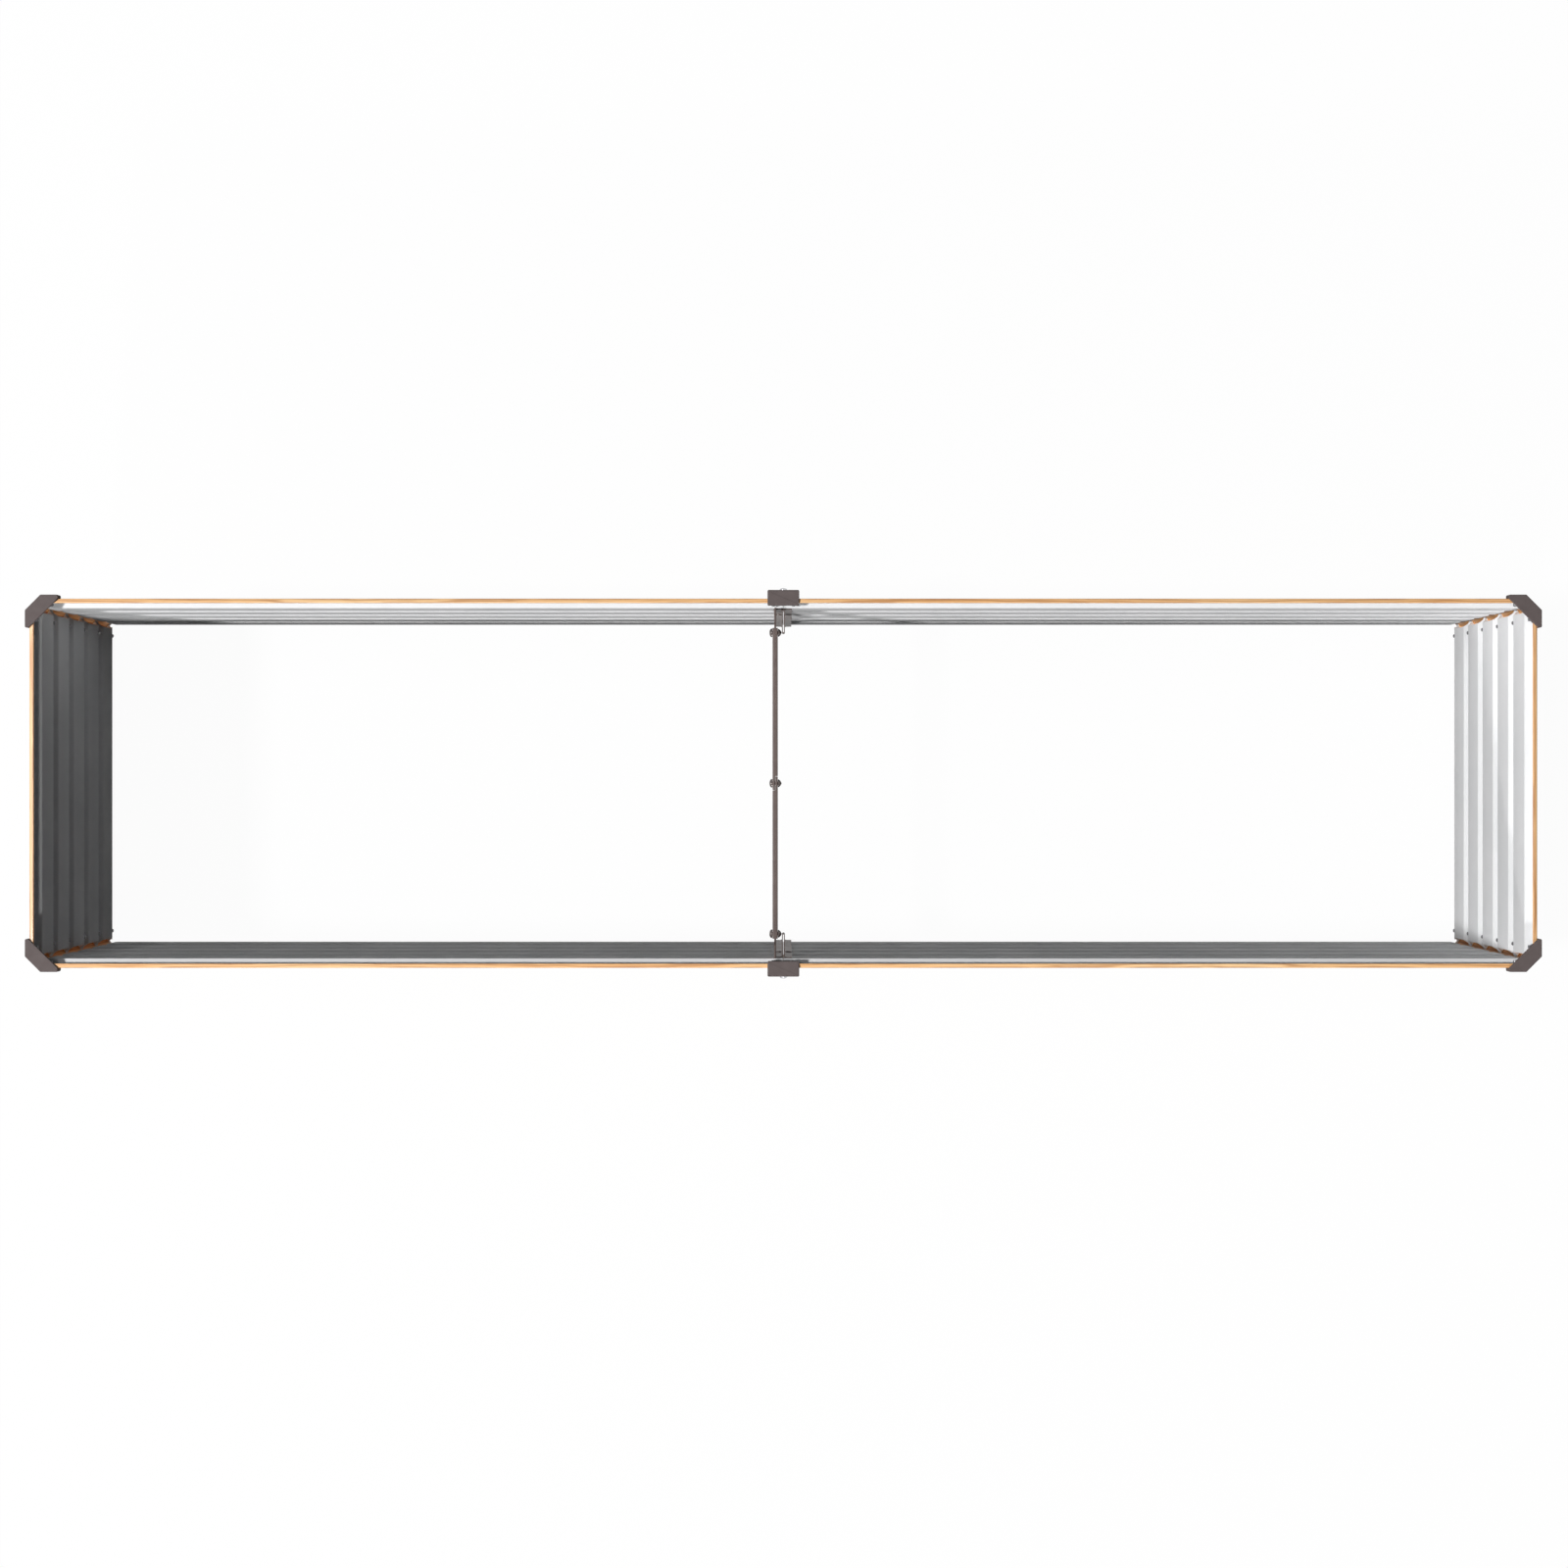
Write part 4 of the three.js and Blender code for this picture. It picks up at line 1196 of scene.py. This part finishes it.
@dataclass
class CrossBrace:
    """Two tubes lapped in the middle, with three bolts and their closed nuts."""

    size: Measures
    wardrobe: Wardrobe
    x: float = Measures.brace_x
    below_rim: float = Measures.brace_drop
    thickness: float = 8.5 * MM
    height: float = 16 * MM
    wall: float = 1.2 * MM
    tube_radius: float = 1.3 * MM
    bore_radius: float = 0.5 * MM
    end: float = 252 * MM
    bolt_y: float = 244.4 * MM
    lap: float = 11 * MM
    neck: float = 1 * MM
    head_radius: float = 7 * MM
    head_height: float = 4.8 * MM
    head_brim: float = 1.2 * MM
    bolt_radius: float = 3 * MM
    nut_radius: float = 5.65 * MM
    nut_length: float = 6.0 * MM

    def outline(self, low: float, high: float, half_height: float, radius: float) -> Points:
        """A rounded rectangle between two x values, about the brace's own height.

        Args:
            low: Lowest x.
            high: Highest x.
            half_height: Half its height.
            radius: Radius of its corners.

        Returns:
            Points as [x, z].
        """
        z = half_height
        corners = np.array([[low, -z], [high, -z], [high, z], [low, z]])
        return rounded(corners, radius, 4, closed=True)

    def half(self) -> Points:
        """Rings of one half, from the tip of its tongue out to the mouth and back inside.

        The x of the flattened side eases from the lap's plane to the tube's own side
        over the neck. Past the mouth the rings are inset by the wall and run back.

        Returns:
            The rings as [ring, step, xyz].
        """
        half_t, half_h = self.thickness / 2, self.height / 2
        share = np.linspace(0, 1, 7)
        ease = share * share * (3 - 2 * share)
        mouth = self.end - 0.3 * MM
        tongue = [-self.lap, -self.lap + 0.5 * MM, self.lap]
        y = np.concatenate([tongue, self.lap + self.neck * share[1:], [mouth, self.end]])
        flat = self.size.touch / 2
        side = np.concatenate([[-flat] * 3, -flat + (half_t + flat) * ease[1:], [half_t] * 2])
        shrink = np.concatenate([[0.4 * MM], np.zeros(len(y) - 3), [0.0, 0.2 * MM]])
        outer = np.stack(
            [self.outline(c - half_t, h - c, half_h - c, self.tube_radius) for h, c in zip(side, shrink)]
        )
        bore = half_t - self.wall
        inner = np.stack([self.outline(-bore, bore, half_h - self.wall, self.bore_radius)] * 3)
        inner_y = np.array([self.end, mouth, self.lap + self.neck + self.wall])
        shape = np.concatenate([outer, inner])
        place = np.concatenate([y, inner_y])
        return stacked(shape[..., 0], place[:, None], shape[..., 1])

    def bolt(self, length: float) -> Points:
        """A bolt along +Y with a tall domed head below y = 0, as rings."""
        angle = np.linspace(CROWN_ANGLE, math.pi / 2, 8)
        rise = (self.head_height - self.head_brim) / math.cos(CROWN_ANGLE)
        dome = -self.head_brim - rise * np.cos(angle)
        head, thread = self.head_radius, self.bolt_radius
        place = np.concatenate([dome, [0, 0, length - 1 * MM, length]])
        radius = np.concatenate([head * np.sin(angle), [head, thread, thread, 2 * MM]])
        return Turned(place, radius, np.zeros(len(place)), FINE_STEPS).rings()

    def nut(self, bore: float) -> Points:
        """A closed nut along +Y: hexagon, rounded crown, and the bore back from y = 0.

        The crown's radius is 0.95 of the flats' times the power of 0.8 of one minus
        the share of its height to the power of 1.5, which draws it in to a small end.

        Args:
            bore: Depth of the bore.

        Returns:
            The rings.
        """
        flats, length = self.nut_radius, self.nut_length
        share = np.linspace(0, 0.97, 9)
        crown = length * 0.38 + length * 0.62 * share
        curve = flats * 0.95 * (1 - share**1.5) ** 0.8
        place = np.concatenate([[bore, 0, 0, 0.4 * MM, length * 0.34], crown])
        inner = self.bolt_radius + self.size.touch
        radius = np.concatenate([[inner, inner, flats * 0.93, flats, flats], curve])
        hexagonal = np.concatenate([[0, 0, 1, 1, 1], np.zeros(len(crown))])
        return Turned(place, radius, hexagonal, FINE_STEPS).rings()

    def make(self) -> None:
        """Builds both halves, then the bolt and nut at each joint.
        """
        z = self.size.height - self.below_rim
        half = self.half()
        for name, turn in (("back", Side.BACK), ("front", Side.FRONT)):
            rings = turned_to(turn, half) + [self.x, 0.0, z]
            materials = [self.wardrobe.bracket]
            build(f"{name}_brace_tube", shell_of(rings), materials, "bracket_steel", f"{name}_brace_half")
        reach = self.thickness / 2 + self.size.touch
        bore = self.nut_length / 2 + self.size.touch
        for name, y in (("back", self.bolt_y), ("middle", 0.0), ("front", -self.bolt_y)):
            bolt = turned_to(Side.RIGHT, self.bolt(2 * reach + self.nut_length / 2)) + [self.x - reach, y, z]
            nut = turned_to(Side.RIGHT, self.nut(bore)) + [self.x + reach, y, z]
            for label, node, rings in (("screw", "bolt", bolt), ("cap_nut", "nut", nut)):
                label, node = f"{name}_brace_{label}", f"{name}_brace_{node}"
                build(label, shell_of(rings), [self.wardrobe.dark_screw], "fastener_steel", node)


# ---- the studio


@dataclass
class Studio:
    """The pale floor, the lamps and the camera straight above the bed."""

    camera_height: float = 3.913
    lens: float = 50.0
    sensor: float = 36.0
    frame_shift: tuple[float, float] = (0.0004, -0.00045)
    floor_half: float = 12.0
    floor_drop: float = 0.002
    floor_tone: float = 0.8
    lamp_distance: float = 16.0
    aim_height: float = 0.2
    fill: float = 0.025
    bounce: float = 0.03
    whiteness: float = 0.965

    def floor(self) -> None:
        """A plain floor that the camera sees as white and that takes the shadow."""
        mesh = bpy.data.meshes.new("floor")
        half = self.floor_half
        around = ((-half, -half), (half, -half), (half, half), (-half, half))
        mesh.from_pydata([(x, y, -self.floor_drop) for x, y in around], [], [(0, 1, 2, 3)])
        floor = linked("floor", mesh)
        material, nodes, shader = new_material("pale_floor")
        shader.inputs["Roughness"].default_value = 0.95
        shader.inputs["Specular IOR Level"].default_value = 0.0
        white = nodes.add("ShaderNodeEmission", Color=(1, 1, 1, 1), Strength=1.0)
        direct = nodes.direct_rays()
        tone = nodes.mix(direct, (*[self.bounce] * 3, 1), (*[self.floor_tone] * 3, 1))
        nodes.feed(shader.inputs["Base Color"], tone)
        seen = nodes.add("ShaderNodeMixShader")
        nodes.feed(seen.inputs[0], nodes.math("MULTIPLY", direct, self.whiteness))
        nodes.feed(seen.inputs[1], shader.outputs[0])
        nodes.feed(seen.inputs[2], white.outputs[0])
        nodes.feed(material.node_tree.nodes["Material Output"].inputs["Surface"], seen.outputs[0])
        mesh.materials.append(material)

    def lamp(self, name: str, heading: float, elevation: float, size: float, level: float) -> None:
        """A square soft lamp that faces the bed.

        A white surface square on to a lamp of power pi squared times the distance
        squared shows as white, so the level is the share of that power. It stands far
        off, so that both ends of the bed are lit alike.

        Args:
            name: Name of the lamp.
            heading: Degrees anticlockwise from +X to where it stands.
            elevation: Degrees above the ground.
            size: Length of its side.
            level: Brightness of a white surface that faces it.
        """
        away = self.lamp_distance
        light = bpy.data.lights.new(name, "AREA")
        light.size = size
        light.energy = level * math.pi**2 * away**2
        lamp = linked(name, light)
        turn, tilt = math.radians(heading), math.radians(elevation)
        flat = away * math.cos(tilt)
        up = self.aim_height + away * math.sin(tilt)
        lamp.location = (flat * math.cos(turn), flat * math.sin(turn), up)
        lamp.rotation_euler = (math.pi / 2 - tilt, 0.0, turn + math.pi / 2)

    def make(self) -> None:
        """Builds the floor, lamps, world and camera."""
        self.floor()
        self.lamp("key", 186.0, 54.0, 1.6, 1.0)
        self.lamp("front", 262.0, 25.5, 1.0, 0.42)
        self.lamp("high", 150.0, 65.0, 2.0, 0.08)
        world = bpy.data.worlds.new("studio")
        bpy.context.scene.world = world
        world.use_nodes = True
        sky = Nodes(world.node_tree)
        backdrop = world.node_tree.nodes["Background"]
        backdrop.inputs["Color"].default_value = (1, 1, 1, 1)
        sky.feed(backdrop.inputs["Strength"], sky.math("MAXIMUM", sky.direct_rays(), self.fill))
        lens = bpy.data.cameras.new("camera")
        lens.lens = self.lens
        lens.sensor_width = self.sensor
        lens.shift_x, lens.shift_y = self.frame_shift
        camera = linked("camera", lens)
        camera.location = (0.0, 0.0, self.camera_height)
        bpy.context.scene.camera = camera
        bpy.context.scene.view_settings.view_transform = "Standard"


def main() -> None:
    """Builds the bed piece by piece, then the studio."""
    logging.basicConfig(level=logging.INFO, format="%(name)s: %(message)s")
    size = Measures()
    kit = (size, Wardrobe())
    end = size.post_sum - math.sqrt(2) * size.touch
    end_x, end_y = end - size.wall_y, end - size.wall_x
    for name, side in (("right_end_panel", Side.RIGHT), ("left_end_panel", Side.LEFT)):
        RibbedPanel(name, side, -end_y, end_y, size.wall_x, True, True, *kit).make()
    for name, side, way in (("back", Side.BACK, 1), ("front", Side.FRONT, -1)):
        right, left = (f"{name}_right_panel", f"{name}_left_panel")
        positive, negative = (right, left) if way > 0 else (left, right)
        RibbedPanel(positive, side, size.touch, end_x, size.wall_y, False, True, *kit).make()
        RibbedPanel(negative, side, -end_x, -size.touch, size.wall_y, True, False, *kit).make()
        MidPost(name, side, *kit).make()
    for depth, sign_y in (("back", 1), ("front", -1)):
        for hand, sign_x in (("right", 1), ("left", -1)):
            Corner(f"{depth}_{hand}", sign_x, sign_y, *kit).make()
    PanelFixings(*kit).make()
    CrossBrace(*kit).make()
    Studio().make()


if __name__ == "__main__":
    main()
